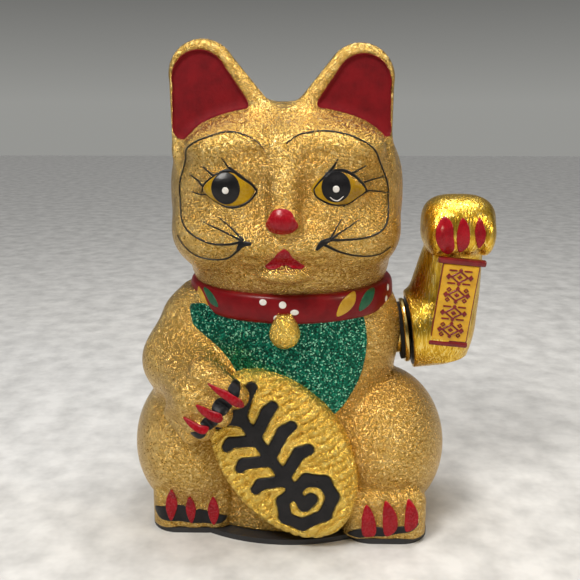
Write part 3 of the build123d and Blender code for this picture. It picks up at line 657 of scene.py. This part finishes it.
neck_hollow = copied(head_only)
outer_head = copied(head_only)
floor_line(neck_hollow, NECK_Z)
inner = np.maximum(head_only.d + WALL, NECK_Z - 4 - head_only.axis(2)[None, None, :])
neck_hollow.d = np.maximum(neck_hollow.d, -inner)
cat_head = piece("cat_head", neck_hollow.mesh("cat_head"), GOLD)


# ------------------------------------------------------------------ collar, bell and coin
COLLAR_R, COLLAR_MID = (56.8, 51.0), (1.0, -3.0)
collar_field = Field((-64, -58, 114), (62, 52, 138), 0.8)
x, y, z = collar_field.grid()
ring = np.sqrt(((x - COLLAR_MID[0]) / COLLAR_R[0]) ** 2 + ((y - COLLAR_MID[1]) / COLLAR_R[1]) ** 2)
ring = (ring - 1) * COLLAR_R[1] / np.maximum(ring, 0.5)
level = 126.8 + 0.025 * y  # the band dips a little at the front
bulge = ring + 0.018 * (z - level) ** 2
collar_field.d = smooth_max(smooth_max(bulge, -ring - 9, 1), np.abs(z - level) - 7.6, 2.5).astype(np.float32)
piece("collar", collar_field.mesh("collar"), COLLAR_RED)

bell_field = Field((-12, -66, 102), (9, -46, 124), 0.4)
bell_field.add(ellipsoid((-1.5, -53.5, 113.5), (8, 5.5, 8)))
bell_field.add(cone((-1.5, -54, 120), (-1.5, -53, 123), 5, 4), 4)
piece("bell", bell_field.mesh("bell"), COIN_GOLD)

COIN_AT = Vector((-2, -66.3, 50.5))
COIN_LEAN, COIN_RECLINE = math.radians(35), math.radians(4)
COIN_HALF, COIN_THICK = (32.0, 49.0), 19.0
coin_long = Vector((-math.sin(COIN_LEAN), 0, math.cos(COIN_LEAN)))
coin_out = (Vector((0, -math.cos(COIN_RECLINE), 0)) + coin_long * math.sin(COIN_RECLINE)).normalized()
coin_across = Vector((math.cos(COIN_LEAN), 0, math.sin(COIN_LEAN)))
coin_long = coin_out.cross(coin_across)

# the coin's own axes: across, along, and out of its face
ORNAMENT_ACROSS = -5.5  # the sprig's stem, from the coin's middle
GROOVE_PITCH, CROSS_PITCH = 4.5, 5.0
ORNAMENT_STROKES = (
    ((0, 41), (0, -24), 3.0),
    ((1, 31), (11, 39), 3.2), ((11, 39), (14, 40), 3.0),
    ((-1, 29), (-9, 35), 3.2), ((-9, 35), (-12, 34), 3.0),
    ((1, 18), (13, 25), 3.4), ((13, 25), (17, 26), 3.0),
    ((-1, 16), (-12, 22), 3.2), ((-12, 22), (-15, 21), 2.8),
    ((1, 5), (14, 12), 3.4), ((14, 12), (19, 12), 3.0),
    ((-1, 3), (-13, 9), 3.2), ((-13, 9), (-16, 8), 2.8),
    ((1, -8), (14, -2), 3.4), ((14, -2), (19, -3), 3.2),
    ((-1, -10), (-12, -5), 3.2), ((-12, -5), (-16, -6), 2.8),
    ((-8, -19), (9, -16), 3.4), ((9, -16), (16, -22), 3.6), ((16, -22), (15, -31), 3.6),
    ((15, -31), (6, -37), 3.4), ((6, -37), (-7, -35), 3.4), ((-7, -35), (-12, -27), 3.4),
    ((-12, -27), (-8, -19), 3.4), ((0, -27), (5, -26), 3.6),
)


def ornament(u, w):
    """A black sprig: a stem with four pairs of curled bars over a ring like a seed pod."""
    u = u - ORNAMENT_ACROSS
    nearest = None
    for (au, aw), (bu, bw), radius in ORNAMENT_STROKES:
        length = max((bu - au) ** 2 + (bw - aw) ** 2, 1e-6)
        t = np.clip(((u - au) * (bu - au) + (w - aw) * (bw - aw)) / length, 0, 1)
        gap = np.sqrt((u - au - t * (bu - au)) ** 2 + (w - aw - t * (bw - aw)) ** 2) - radius
        nearest = gap if nearest is None else smooth_min(nearest, gap, 1.5)
    return nearest


coin_field = Field((-34.0, -51.0, -COIN_THICK - 1.5), (34.0, 51.0, 3.0), 0.45)
u, w, n = coin_field.grid()
oval = np.sqrt((u / COIN_HALF[0]) ** 2 + (w / COIN_HALF[1]) ** 2)
oval_slope = np.sqrt((u / COIN_HALF[0] ** 2) ** 2 + (w / COIN_HALF[1] ** 2) ** 2)
oval = oval * (oval - 1) / np.maximum(oval_slope, 1e-3)
mark = ornament(u, w)
wander = 0.35 * np.sin(u * 0.55 + 1.3) + 0.25 * np.sin(w * 0.31 + u * 0.2)
groove_row = (w + wander + 0.1 * np.abs(u)) / GROOVE_PITCH
groove = np.abs(groove_row % 1.0 - 0.5) * GROOVE_PITCH  # distance from a groove's middle
row = np.floor(groove_row + 0.5)
cross = np.abs(((oval + 1.6 * np.sin(row * 2.1)) / CROSS_PITCH) % 1.0 - 0.5) * CROSS_PITCH
in_band = np.clip((mark - 1.5) / 1.5, 0, 1)
face = -1.15 * np.exp(-((groove / 0.75) ** 2)) * in_band
face = face - 0.6 * np.exp(-((cross / 0.55) ** 2)) * in_band
face = face + 0.75 * np.exp(-(((mark - 0.9) / 0.7) ** 2)) - 0.4 * (mark < 0)
bevel_wide = 2.5 + 6.5 * np.clip(u / 20, 0, 1)
face = face - (0.8 + 4.5 * np.clip(u / 20, 0, 1)) * np.clip((oval + bevel_wide) / bevel_wide, 0, 1.3) ** 1.4
edge_wave = 0.25 * np.sin(n * 2.0 + u * 0.3) * np.clip(-n / 4, 0, 1)
coin_top = smooth_max(oval + edge_wave, n - face, 2.2)
coin_field.d = smooth_max(coin_top, -n - COIN_THICK, 1.0).astype(np.float32)


def placed(mesh, origin, across, along, out):
    """Turns a mesh that was made in a piece's own axes, in metres, into its place."""
    turn = np.array([across, along, out]).T
    co = np.empty(len(mesh.vertices) * 3, np.float32)
    mesh.vertices.foreach_get("co", co)
    co = co.reshape(-1, 3) @ turn.T + np.array(origin) * MM
    mesh.vertices.foreach_set("co", co.astype(np.float32).ravel())
    mesh.update()
    return mesh


piece("coin", placed(coin_field.mesh("coin"), COIN_AT, coin_across, coin_long, coin_out), COIN_GOLD)

ink_field = Field((-34.0, -51.0, -1.5), (34.0, 51.0, 2.0), 0.45)
u, w, n = ink_field.grid()
mark = ornament(u, w)
ink_field.d = smooth_max(smooth_max(mark + 0.15, n - 0.35, 0.6), -n - 1.1, 0.2).astype(np.float32)
piece(
    "coin_ornament",
    placed(ink_field.mesh("coin_ornament"), COIN_AT, coin_across, coin_long, coin_out),
    BLACK,
)

# ------------------------------------------------------------------ the waving arm
ARM_START, ARM_R, ARM_WALL, ELBOW_AT, ARM_SEAM_Y = 6.0, 22.0, 1.8, 22.0, 1.5
FOREARM = [
    (88, 14, 15, 88, 1),
    (105, 18.5, 18.5, 87, 0),
    (122, 19.8, 17.5, 87.6, 0),
    (140, 17.8, 15.5, 89.6, -2),
    (152, 16.2, 13.5, 90.8, -6),
    (160, 15.5, 12, 91.0, -10),
]
PAW_AT, PAW_HALF = (91, -13, 163.5), (19.7, 20, 16.5)


def arm_shape(field):
    field.add(disc(SHOULDER, AXLE, ARM_R, ARM_START, ELBOW_AT, 1.0))
    field.add(ellipsoid(SHOULDER + AXLE * ELBOW_AT, (ARM_R, ARM_R, 18.0), AXLE))
    field.add(stack(FOREARM), 7)
    field.add(full_ellipsoid(PAW_AT, PAW_HALF, 2.9, 2.3), 2.5)
    for across in (-13, -4.5, 4.5, 13):
        at = (PAW_AT[0] + across, PAW_AT[1] - 9, PAW_AT[2] - 3)
        field.add(ellipsoid(at, (5.5, 11, 12)), 1.6)


arm_field = Field((60, -37, 73), (114, 25, 184), 0.6)
arm_shape(arm_field)
arm_outer = copied(arm_field)
plug_space = disc(SHOULDER, AXLE, ARM_R - ARM_WALL, ARM_START - 4, ARM_START + 3)
arm_inner = Field(arm_field.low, arm_field.low, arm_field.step)
arm_inner.count, arm_inner.d = arm_field.count, arm_field.d + ARM_WALL
arm_inner.add(plug_space)
arm_field.d = np.maximum(arm_field.d, -arm_inner.d)
for name, side in (("arm_shell_front", -1), ("arm_shell_back", 1)):
    half = copied(arm_field)
    half.d = np.maximum(half.d, -side * (half.axis(1)[None, :, None] - ARM_SEAM_Y) + 0.04)
    piece(name + "_look", half.mesh(name), ARM_GOLD, "waving_arm", [name])


# ------------------------------------------------------------------ plaque on the arm
PLAQUE_LOW, PLAQUE_HIGH = Vector((87.2, -21.8, 97.2)), Vector((92, -28, 147.5))  # middle of each end
plaque_up = (PLAQUE_HIGH - PLAQUE_LOW).normalized()
plaque_across = -plaque_up.cross(Vector((0, 1, 0))).normalized()
plaque_out = plaque_across.cross(plaque_up)
plaque_mid = (PLAQUE_LOW + PLAQUE_HIGH) / 2
PLAQUE_LONG = (PLAQUE_HIGH - PLAQUE_LOW).length


def plaque_piece(name, material, distance, replaced=()):
    """One layer of the plaque, from a distance in its own axes: across, up and out."""
    field = Field((-13.5, -26, -3.2), (13.5, 26, 1.9), 0.3)
    field.d = distance(*field.grid()).astype(np.float32)
    mesh = placed(field.mesh(name), plaque_mid, plaque_across, plaque_up, plaque_out)
    return piece(name, mesh, material, "waving_arm", replaced)


def plate_layer(half_wide, half_long, back, front, rounding):
    def distance(u, w, n):
        flat = smooth_max(np.abs(u) - half_wide, np.abs(w) - half_long, rounding)
        return smooth_max(flat, np.abs(n - (back + front) / 2) - (front - back) / 2, 0.4)

    return distance


def rail_layer(u, w, n):
    nearest = None
    for wide, high, thick, end in ((25.5, 3.4, 4.4, 1), (21.5, 3.0, 3.6, -1)):
        middle = end * (PLAQUE_LONG - high) / 2
        flat = np.abs(w - middle) - high / 2
        rail = smooth_max(flat, np.abs(u) - wide / 2, 1.0)
        rail = smooth_max(rail, np.abs(n + 1.1) - thick / 2 + 0.3, 1.2)
        nearest = rail if nearest is None else np.minimum(nearest, rail)
    return nearest


def knot_layer(u, w, n):
    """Four framed rosettes, one above the other."""
    nearest = None
    for index, middle in enumerate((15.2, 5.0, -5.4, -15.4)):
        a, b = np.abs(u), np.abs(w - middle)
        diamond = np.abs(a * 0.72 + b - 3.2) - 0.6
        heart = a * 0.8 + b - 1.3
        tips = np.minimum(a + np.abs(b - 3.9) - 1.2, np.abs(a - 5.9) + b * 0.8 - 1.5)
        if index % 2:
            leaves = np.abs(np.abs(a - 4.6) + np.abs(b - 2.9) - 1.1) - 0.45
        else:
            leaves = np.maximum(np.abs(b - 3.6) - 0.45, np.abs(a - 4.0) - 2.2)
        knot = np.minimum(np.minimum(diamond, heart), np.minimum(tips, leaves))
        nearest = knot if nearest is None else np.minimum(nearest, knot)
    return smooth_max(nearest, np.abs(n - 0.15) - 0.45, 0.3)


PLAQUE_YELLOW = gloss_paint("plaque_yellow", (0.78, 0.44, 0.015), (0.6, 0.3, 0.008), rough=0.3)
PLAQUE_RED = gloss_paint("plaque_red", (0.24, 0.012, 0.014), (0.13, 0.005, 0.007), rough=0.3)
plaque_piece("plaque_back", PLAQUE_RED, plate_layer(10.0, 23.6, -2.2, -0.35, 0.6), ["arm_plaque"])
plaque_piece("plaque_plate", PLAQUE_YELLOW, plate_layer(9.5, 22.0, -1.4, 0.0, 0.5))
plaque_piece("plaque_rails", PLAQUE_RED, rail_layer)
plaque_piece("plaque_knots", PLAQUE_RED, knot_layer)

# ------------------------------------------------------------------ paint


def paint(
    name, outline, field, material, proud=0.35, smooth=60, body="cat", step=0.4,
    depth=9.0,
):
    """A thin closed skin of paint inside a front outline (x, z) on the surface of a field.

    It reaches no further back than depth behind the outline's foremost point.
    """
    ring = smooth_line(outline, smooth, closed=True) if smooth else np.array(outline, float)
    low, high = ring.min(axis=0) - 1, ring.max(axis=0) + 1
    where, x, y, z = field.window((low[0], -1e3, low[1]), (high[0], 1e3, high[1]))
    solid = field.d[where] < 0
    drawn = outline_distance(ring, x, z) < 1.0
    hit = solid.any(axis=1) & drawn[:, 0, :]
    first = np.ravel(y)[solid.argmax(axis=1)][hit]
    first = first[first < first.min() + depth]
    near, far = first.min() - 2.5, first.max() + 1.5
    skin = field.resampled((low[0], near, low[1]), (high[0], far, high[1]), step)
    x, z = skin.axis(0)[:, None, None], skin.axis(2)[None, None, :]
    edge = outline_distance(ring, x, z)
    back = skin.axis(1)[None, :, None] - far + 0.5
    skin.d = smooth_max(smooth_max(skin.d - proud, edge, 0.35), -(skin.d + 0.7), 0.1)
    skin.d = np.maximum(skin.d, back).astype(np.float32)
    return piece(name, skin.mesh(name), material, body)


def oval_outline(across, height, half_wide, half_high, count=12):
    return [
        (across + half_wide * math.cos(a), height + half_high * math.sin(a))
        for a in np.linspace(0, 2 * math.pi, count, endpoint=False)
    ]


for side, name in ((-1, "ear_red_right"), (1, "ear_red_left")):
    over, up = EAR_SHIFT[side]
    middle = HEAD_X + side * 38 + over
    skin = outer_head.resampled((middle - 27, EAR_FACE_Y - 1.5, 188), (middle + 27, EAR_FACE_Y + 5, 258), 0.5)
    x, y, z = skin.grid()
    inside = slab(EAR_INSIDE, side, EAR_FACE_Y - 6, EAR_FACE_Y + 12, 0.0, 0.1)(x, y, z) - 0.3
    level = np.abs(y - EAR_FACE_Y - 1.7) - 1.6
    layer = np.maximum(np.maximum(skin.d - 0.35, inside), np.maximum(-(skin.d + 0.7), level))
    skin.d = layer.astype(np.float32)
    piece(name, skin.mesh(name), EAR_RED)

EYES = {
    "right": [(-16, 186.5), (-19, 190.5), (-23, 193.5), (-28, 195), (-33, 194.5), (-37.5, 191.5), (-41, 187),
              (-39, 183), (-34.5, 179.5), (-28.5, 178.5), (-22.5, 179.5), (-18, 182.5)],
    "left": [(11.5, 187), (14.5, 191.5), (19, 195), (24, 195.5), (29, 194), (33.5, 190.5), (38, 186.5),
             (33.5, 182.5), (29.5, 180), (23.5, 179.5), (18.5, 180.5), (14, 183.5)],
}
PUPILS = {"right": (-30, 187.3, 7.1, 7.9), "left": (23.5, 188.2, 7.1, 7.6)}
for side, outline in EYES.items():
    paint("eye_" + side, outline, outer_head, SCLERA, 0.3)
    across, height, half_wide, half_high = PUPILS[side]
    pupil = oval_outline(across, height, half_wide, half_high)
    paint("pupil_" + side, pupil, outer_head, BLACK, 0.55, step=0.35)
    paint("glint_" + side, oval_outline(across, height - 0.9, 1.65, 1.7), outer_head, WHITE, 0.85, step=0.25)

NOSE = [(-2.5, 179), (-7, 177.5), (-8.7, 174.5), (-10.5, 170), (-8, 167.3), (-2.5, 166), (3, 167.3),
        (5.5, 170),
        (3.7, 174.5), (2, 177.5)]
MOUTH = [(-1.5, 159), (0.8, 157.5), (2.5, 154.5), (5.5, 152), (9, 149.3), (7, 148.3), (3, 148.6), (-0.5, 150),
         (-2.5, 149.8), (-6, 148.4), (-9.5, 148.2), (-11.5, 149.3), (-7.5, 153), (-4.5, 156.8)]
paint("nose", NOSE, outer_head, RED, 0.5)
paint("mouth", MOUTH, outer_head, RED, 0.45, smooth=0)

BIB_OUTLINE = [(-53, 122), (-52, 116), (-50, 110), (-46.5, 105), (-40.5, 100), (-34, 95), (-27.5, 89.5),
               (-20, 82),
               (-11, 76.5), (-2, 73), (6, 69.5), (13, 66.5), (20, 66), (27, 70), (33.5, 78), (38.5, 87),
               (41, 97),
               (41.5, 108), (40, 117), (38, 123), (20, 124), (0, 124), (-25, 124), (-45, 124)]
paint("bib", BIB_OUTLINE, belly_field, BIB, 0.8, smooth=160, step=0.55, depth=40)

CLAWS = {
    "right_hand": [
        [(-39, 93.5), (-34, 92), (-28, 90), (-21, 84.5), (-21, 82), (-24, 82.5), (-29, 85.5), (-34.5, 89)],
        [(-45, 82.5), (-38.5, 80.5), (-31.5, 78), (-31.5, 75.5), (-38.5, 75.5), (-42.5, 78)],
        [(-52, 74.5), (-44.5, 72.5), (-38.5, 70.5), (-39.5, 68.5), (-45.5, 69), (-49.5, 71)],
    ],
    "right_foot": [
        [(-62, 27), (-65.7, 18), (-63, 8), (-59.5, 17)],
        [(-52.5, 23), (-55, 15.5), (-52, 6.5), (-49.5, 15.5)],
        [(-40, 22), (-43.2, 14.5), (-40, 5.5), (-36.8, 14)],
    ],
    "left_foot": [
        [(41.5, 23), (39, 14), (41, 4.8), (45.5, 4.8), (46.2, 14.5)],
        [(51.5, 25), (50, 15), (52.5, 5.3), (57, 8), (57.5, 17)],
        [(63.5, 26), (61.7, 17), (62.7, 8.5), (68, 11.5), (68.3, 19.5)],
    ],
}
# Black paint put where there is only shade: the creases of the right hand's fingers and the feet's lower front
# edges.
PAINTED_SHADE = {
    # painted shade in the creases between the fingers, and where they meet the belly and the coin
    "right_hand_painted_shade_1": [(-28.8, 91.5), (-26, 94.5), (-22.8, 92), (-23.5, 87.5)],
    "right_hand_painted_shade_2": [(-37, 80.5), (-33, 86.5), (-26.5, 84), (-31, 77.8)],
    "right_hand_painted_shade_3": [(-43, 72.3), (-39.5, 76.3), (-33.8, 74.5), (-37.5, 69.5)],
    "right_hand_painted_shade_4": [(-48.5, 66.5), (-44, 69), (-40, 67.3), (-43, 64.8)],
    # painted shade: black bands along the toes' lower front curve, where the contact shadow falls
    "right_foot_painted_shade": [(-72.5, 14), (-68, 16), (-61, 17), (-52, 15.5), (-43, 13.5), (-36.5, 12),
                        (-32.5, 9.5),
                        (-35, 7), (-41.5, 6), (-52.5, 6.5), (-63.5, 7.5), (-70, 9)],
    "left_foot_painted_shade": [(32, 5), (35, 8.5), (40, 10), (48, 10.5), (55, 10.3), (61, 11), (66, 12.3),
                       (69.5, 12.5),
                       (67, 9.5), (60, 6.7), (52, 5.2), (44, 4.4), (36, 4.2)],
}
# The patches above are painted shade, in black.
for name, outline in PAINTED_SHADE.items():
    paint(name, outline, outer_body, BLACK, 0.4)
for name, outlines in CLAWS.items():
    for index, outline in enumerate(outlines, 1):
        paint(f"{name}_claw_{index}", outline, outer_body, RED, 0.9)

PAW_CLAWS = [
    [(81, 170.5), (77, 166), (76.2, 160), (79, 153.5), (84, 149.8), (86, 152), (85.5, 160), (84, 168)],
    [(90, 170), (87.3, 164), (87.3, 157), (90, 151), (93, 154), (93.7, 162), (92, 168)],
    [(98.8, 170), (96.3, 164), (97.3, 158), (99.6, 153.5), (101.6, 157), (101.8, 164)],
]
for index, outline in enumerate(PAW_CLAWS, 1):
    paint(f"paw_claw_{index}", outline, arm_outer, RED, 0.7, body="waving_arm", step=0.35)

LEAF_YELLOW = gloss_paint("leaf_yellow", (0.6, 0.36, 0.02), (0.42, 0.22, 0.01), rough=0.3)
LEAF_GREEN = gloss_paint("leaf_green", (0.008, 0.11, 0.045), (0.004, 0.06, 0.025), rough=0.3)
COLLAR_LEAVES = {
    "collar_leaf_1": (LEAF_YELLOW, [(25, 121.5), (25.8, 126.5), (29, 131), (34.5, 133), (34.8, 128.5),
                                    (31, 123.5)]),
    "collar_leaf_2": (LEAF_GREEN, [(36.8, 122.5), (37.8, 128.5), (41, 132.5), (45.3, 133), (45, 129),
                                   (42, 124.5)]),
    "collar_leaf_3": (LEAF_YELLOW, [(-50, 132.5), (-49.5, 128), (-46.5, 124.5), (-42.3, 123),
                                    (-44, 127), (-47, 131)]),
    "collar_leaf_4": (LEAF_GREEN, [(-45.5, 132.5), (-43.5, 128.5), (-40, 124.5), (-36.5, 124),
                                   (-38, 128.5), (-42, 132)]),
}
for name, (material, outline) in COLLAR_LEAVES.items():
    paint(name, outline, collar_field, material, 0.3)
COLLAR_DOTS = (
    (-12.5, 129.6, 1.9, 1.6),
    (-2.5, 128.6, 1.9, 1.9),
    (3.5, 124.8, 2.2, 1.5),
    (-5.5, 121.4, 1.7, 1.8),
    (53.5, 130.5, 0.8, 1.7),
    (52.5, 125, 0.8, 1.6),
)
for index, dot in enumerate(COLLAR_DOTS, 1):
    paint(f"collar_dot_{index}", oval_outline(*dot), collar_field, WHITE, 0.35, step=0.25)

# ------------------------------------------------------------------ brush strokes on the face
head_tree = BVHTree.FromPolygons(
    [v.co.copy() for v in cat_head.data.vertices], [tuple(p.vertices) for p in cat_head.data.polygons]
)


def stroke(name, line, widths, material, proud):
    """A brush line on the head. Points are degrees round from the front, and height; widths in mm."""
    path = np.array(line, float)
    reach = np.linalg.norm(np.diff(path, axis=0), axis=1).sum()
    path = smooth_line(path, max(8, int(reach / 1.2)))
    spots, outs = [], []
    for degrees, height in path:
        turn = math.radians(degrees)
        away = Vector((math.sin(turn), -math.cos(turn), 0))
        axis = Vector((HEAD_X, FACE_Y, height)) * MM
        place, normal, _, _ = head_tree.ray_cast(axis + away * 0.2, -away)
        spots.append(place)
        outs.append(normal)
    share = np.linspace(0, 1, len(spots))
    wide = np.interp(share, np.linspace(0, 1, len(widths)), widths) * MM
    corners, faces, ring = [], [], 8
    for i, spot in enumerate(spots):
        ahead = (spots[min(i + 1, len(spots) - 1)] - spots[max(i - 1, 0)]).normalized()
        up = (outs[max(i - 1, 0)] + outs[i] + outs[min(i + 1, len(outs) - 1)]).normalized()
        across = up.cross(ahead).normalized()
        for k in range(ring):
            a = 2 * math.pi * k / ring
            corners.append(spot + across * math.cos(a) * wide[i] / 2 + up * math.sin(a) * proud * MM)
    for i in range(len(spots) - 1):
        for k in range(ring):
            a, b = i * ring + k, i * ring + (k + 1) % ring
            faces.append((a, b, b + ring, a + ring))
    faces.append(tuple(range(ring))[::-1])
    faces.append(tuple((len(spots) - 1) * ring + k for k in range(ring)))
    mesh = bpy.data.meshes.new(name)
    mesh.from_pydata(corners, [], faces)
    mesh.polygons.foreach_set("use_smooth", [True] * len(mesh.polygons))
    mesh.update()
    return piece(name, mesh, material)


STROKES = {
    "face_arc_right": ([(-11, 206.5), (-17, 210.5), (-24, 213), (-33, 214), (-40, 212), (-48, 208),
                        (-57, 201.5),
                        (-62, 193), (-64, 185.5), (-62, 178.5), (-57, 172), (-50.5, 166.5), (-43.5, 162.5),
                        (-37, 160), (-30, 160), (-20, 162.5)], (0.3, 0.7, 0.8, 1.0, 0.8, 0.9, 1.4)),
    "face_arc_left": ([(1, 209), (6, 212), (16, 214), (26, 214.5), (34, 213), (41, 209.5), (49, 202.5),
                       (57, 194.5),
                       (60, 187.5), (59.5, 179), (55, 171), (49, 166), (42, 163.5), (34, 162.5), (23, 163)],
                      (0.3, 0.7, 0.8, 1.0, 0.8, 0.9, 1.4)),
    "cheek_line_right": ([(-19, 162), (-25, 156.5), (-32, 152.5), (-40, 151.5), (-47, 153), (-52, 157),
                          (-57, 162.5)], (1.6, 1.1, 0.9, 0.7, 0.3)),
    "cheek_line_left": ([(20, 161), (28, 157), (36, 154.5), (43, 153.5), (50, 154),
                         (56, 157)], (1.5, 1.0, 0.8, 0.3)),
    "whisker_right_1": ([(-20, 163), (-28, 168), (-35, 173)], (1.2, 0.7, 0.3)),
    "whisker_right_2": ([(-20, 162.5), (-30, 165.5), (-37, 168.5), (-43, 171)], (1.4, 0.9, 0.7, 0.3)),
    "whisker_left_1": ([(23, 163.5), (27, 167.5), (31, 172.5)], (1.2, 0.7, 0.3)),
    "whisker_left_2": ([(24, 163.5), (32, 167.5), (39, 172)], (1.3, 0.7, 0.3)),
    "whisker_root_right": ([(-24, 157), (-21, 161), (-16, 161.5)], (1.5, 3.6, 1.5)),
    "whisker_root_left": ([(16, 158.5), (18, 161.2), (24, 163.5)], (1.4, 3.4, 1.6)),
    "lid_right": ([(-33, 202), (-31, 198), (-27, 194.8), (-23, 192), (-19, 189.3), (-16, 186.3)],
                  (0.4, 1.3, 2.2, 1.6, 1.0)),
    "lid_arch_right": ([(-27, 195), (-32, 195.8), (-37, 193), (-41, 189.5),
                        (-44, 185)], (1.6, 1.6, 1.3, 1.0, 0.4)),
    "lash_right_1": ([(-45, 197.5), (-41, 195), (-36.5, 193)], (0.4, 1.0, 1.5)),
    "lash_right_2": ([(-55, 193), (-48, 190), (-42, 188)], (0.4, 1.1, 1.3)),
    "lash_right_3": ([(-53, 184.5), (-47, 183.5), (-41, 184)], (0.3, 0.6, 0.6)),
    "lower_lid_right": ([(-41, 184), (-38, 181.5), (-34, 179), (-29, 178), (-23, 179.3), (-18.5, 182.5),
                         (-16, 186)], (0.5, 0.9, 1.1, 1.0, 0.8)),
    "lid_left": ([(29, 201.5), (27, 197.5), (23, 193.5), (19, 189.5), (17, 187)], (0.4, 1.4, 1.9, 1.3, 0.9)),
    "lid_arch_left": ([(23, 193.5), (28, 195.8), (32, 196), (36, 194), (39, 190.8), (43, 186)],
                      (1.3, 1.6, 1.8, 1.6, 0.9)),
    "lash_left_1": ([(44, 198), (40, 196), (35, 194.3)], (0.3, 0.9, 1.5)),
    "lash_left_2": ([(58, 192), (50, 191), (41, 190.3)], (0.3, 0.8, 1.1)),
    "lash_left_3": ([(61, 183.5), (51, 185), (43, 185.5), (38.5, 183), (36, 180.5), (32, 178.5)],
                    (0.3, 0.7, 1.0, 0.9, 0.6)),
    "lower_lid_left": ([(17, 187), (18, 184), (21, 181.8), (25, 180), (29, 179.2), (33, 179.4)],
                       (1.0, 1.0, 1.2, 0.9, 0.5)),
}
for name, (line, widths) in STROKES.items():
    stroke(name, line, widths, BLACK, 0.5)
stroke("brush_glint", [(25, 183.5), (27, 182), (29, 181.7), (31, 184)], (0.4, 0.8, 0.8, 0.4), WHITE, 1.0)

# ------------------------------------------------------------------ the other pieces' finishes
def battery_sleeve():
    """A printed cell sleeve: dark body with a gold band at one end."""
    n = Nodes("cell_can")
    split = n.node("ShaderNodeSeparateXYZ")
    n.feed(split.inputs["Vector"], n.place)
    along = n.maths("MULTIPLY_ADD", split.outputs["Y"], 20.0)
    along.node.inputs[2].default_value = 0.5
    colour = n.ramp(along, (0.0, (0.02, 0.06, 0.05)), (0.68, (0.02, 0.07, 0.055)), (0.7, (0.7, 0.42, 0.1)))
    fine = n.noise(600, 2.0, 0.5)
    return n.finish(
        Base_Color=colour,
        Metallic=0.4,
        Roughness=n.remap(fine, 0.2, 0.4),
        Normal=n.bump(fine, 0.00005, 0.6),
    )


FINISHES = {
    "bezel_gold": plain("bezel_gold", (0.85, 0.62, 0.2), 1.0, 0.16, 300, 0.00003),
    "arm_gold": ARM_GOLD,
    "ceramic_gold": GOLD,
    "black_foam": plain("black_foam", (0.02, 0.02, 0.02), 0.0, 0.85, 2500, 0.0003),
    "black_plastic": plain("black_plastic", (0.022, 0.022, 0.025), 0.0, 0.5, 1800, 0.0001),
    "white_plastic": plain("white_plastic", (0.76, 0.74, 0.68), 0.0, 0.45, 1500, 0.00005),
    "red_yellow_plaque": PLAQUE_YELLOW,
    "steel": plain("steel", (0.55, 0.55, 0.56), 1.0, 0.32, 1200, 0.00006),
    "brass": plain("brass", (0.72, 0.5, 0.18), 1.0, 0.3, 1200, 0.00005),
    "magnet": plain("magnet", (0.7, 0.7, 0.72), 1.0, 0.18, 500, 0.00003),
    "cast_weight": plain("cast_weight", (0.16, 0.16, 0.17), 0.9, 0.6, 700, 0.0003),
    "copper_wire": plain("copper_wire", (0.62, 0.2, 0.06), 0.9, 0.3, 2600, 0.00012),
    "cell_can": battery_sleeve(),
    "board": plain("board", (0.38, 0.24, 0.09), 0.0, 0.5, 900, 0.0001),
    "wire_red": plain("wire_red", (0.55, 0.02, 0.015), 0.0, 0.35, 1500, 0.00004),
    "wire_black": plain("wire_black", (0.015, 0.015, 0.015), 0.0, 0.35, 1500, 0.00004),
    "resistor_body": plain("resistor_body", (0.6, 0.42, 0.2), 0.0, 0.4, 1500, 0.00006),
}
for row in frame["record"]["subparts"]:
    data = frame["nodes"][row["node"]].data
    data.materials.clear()
    data.materials.append(FINISHES[row["material_slot"]])
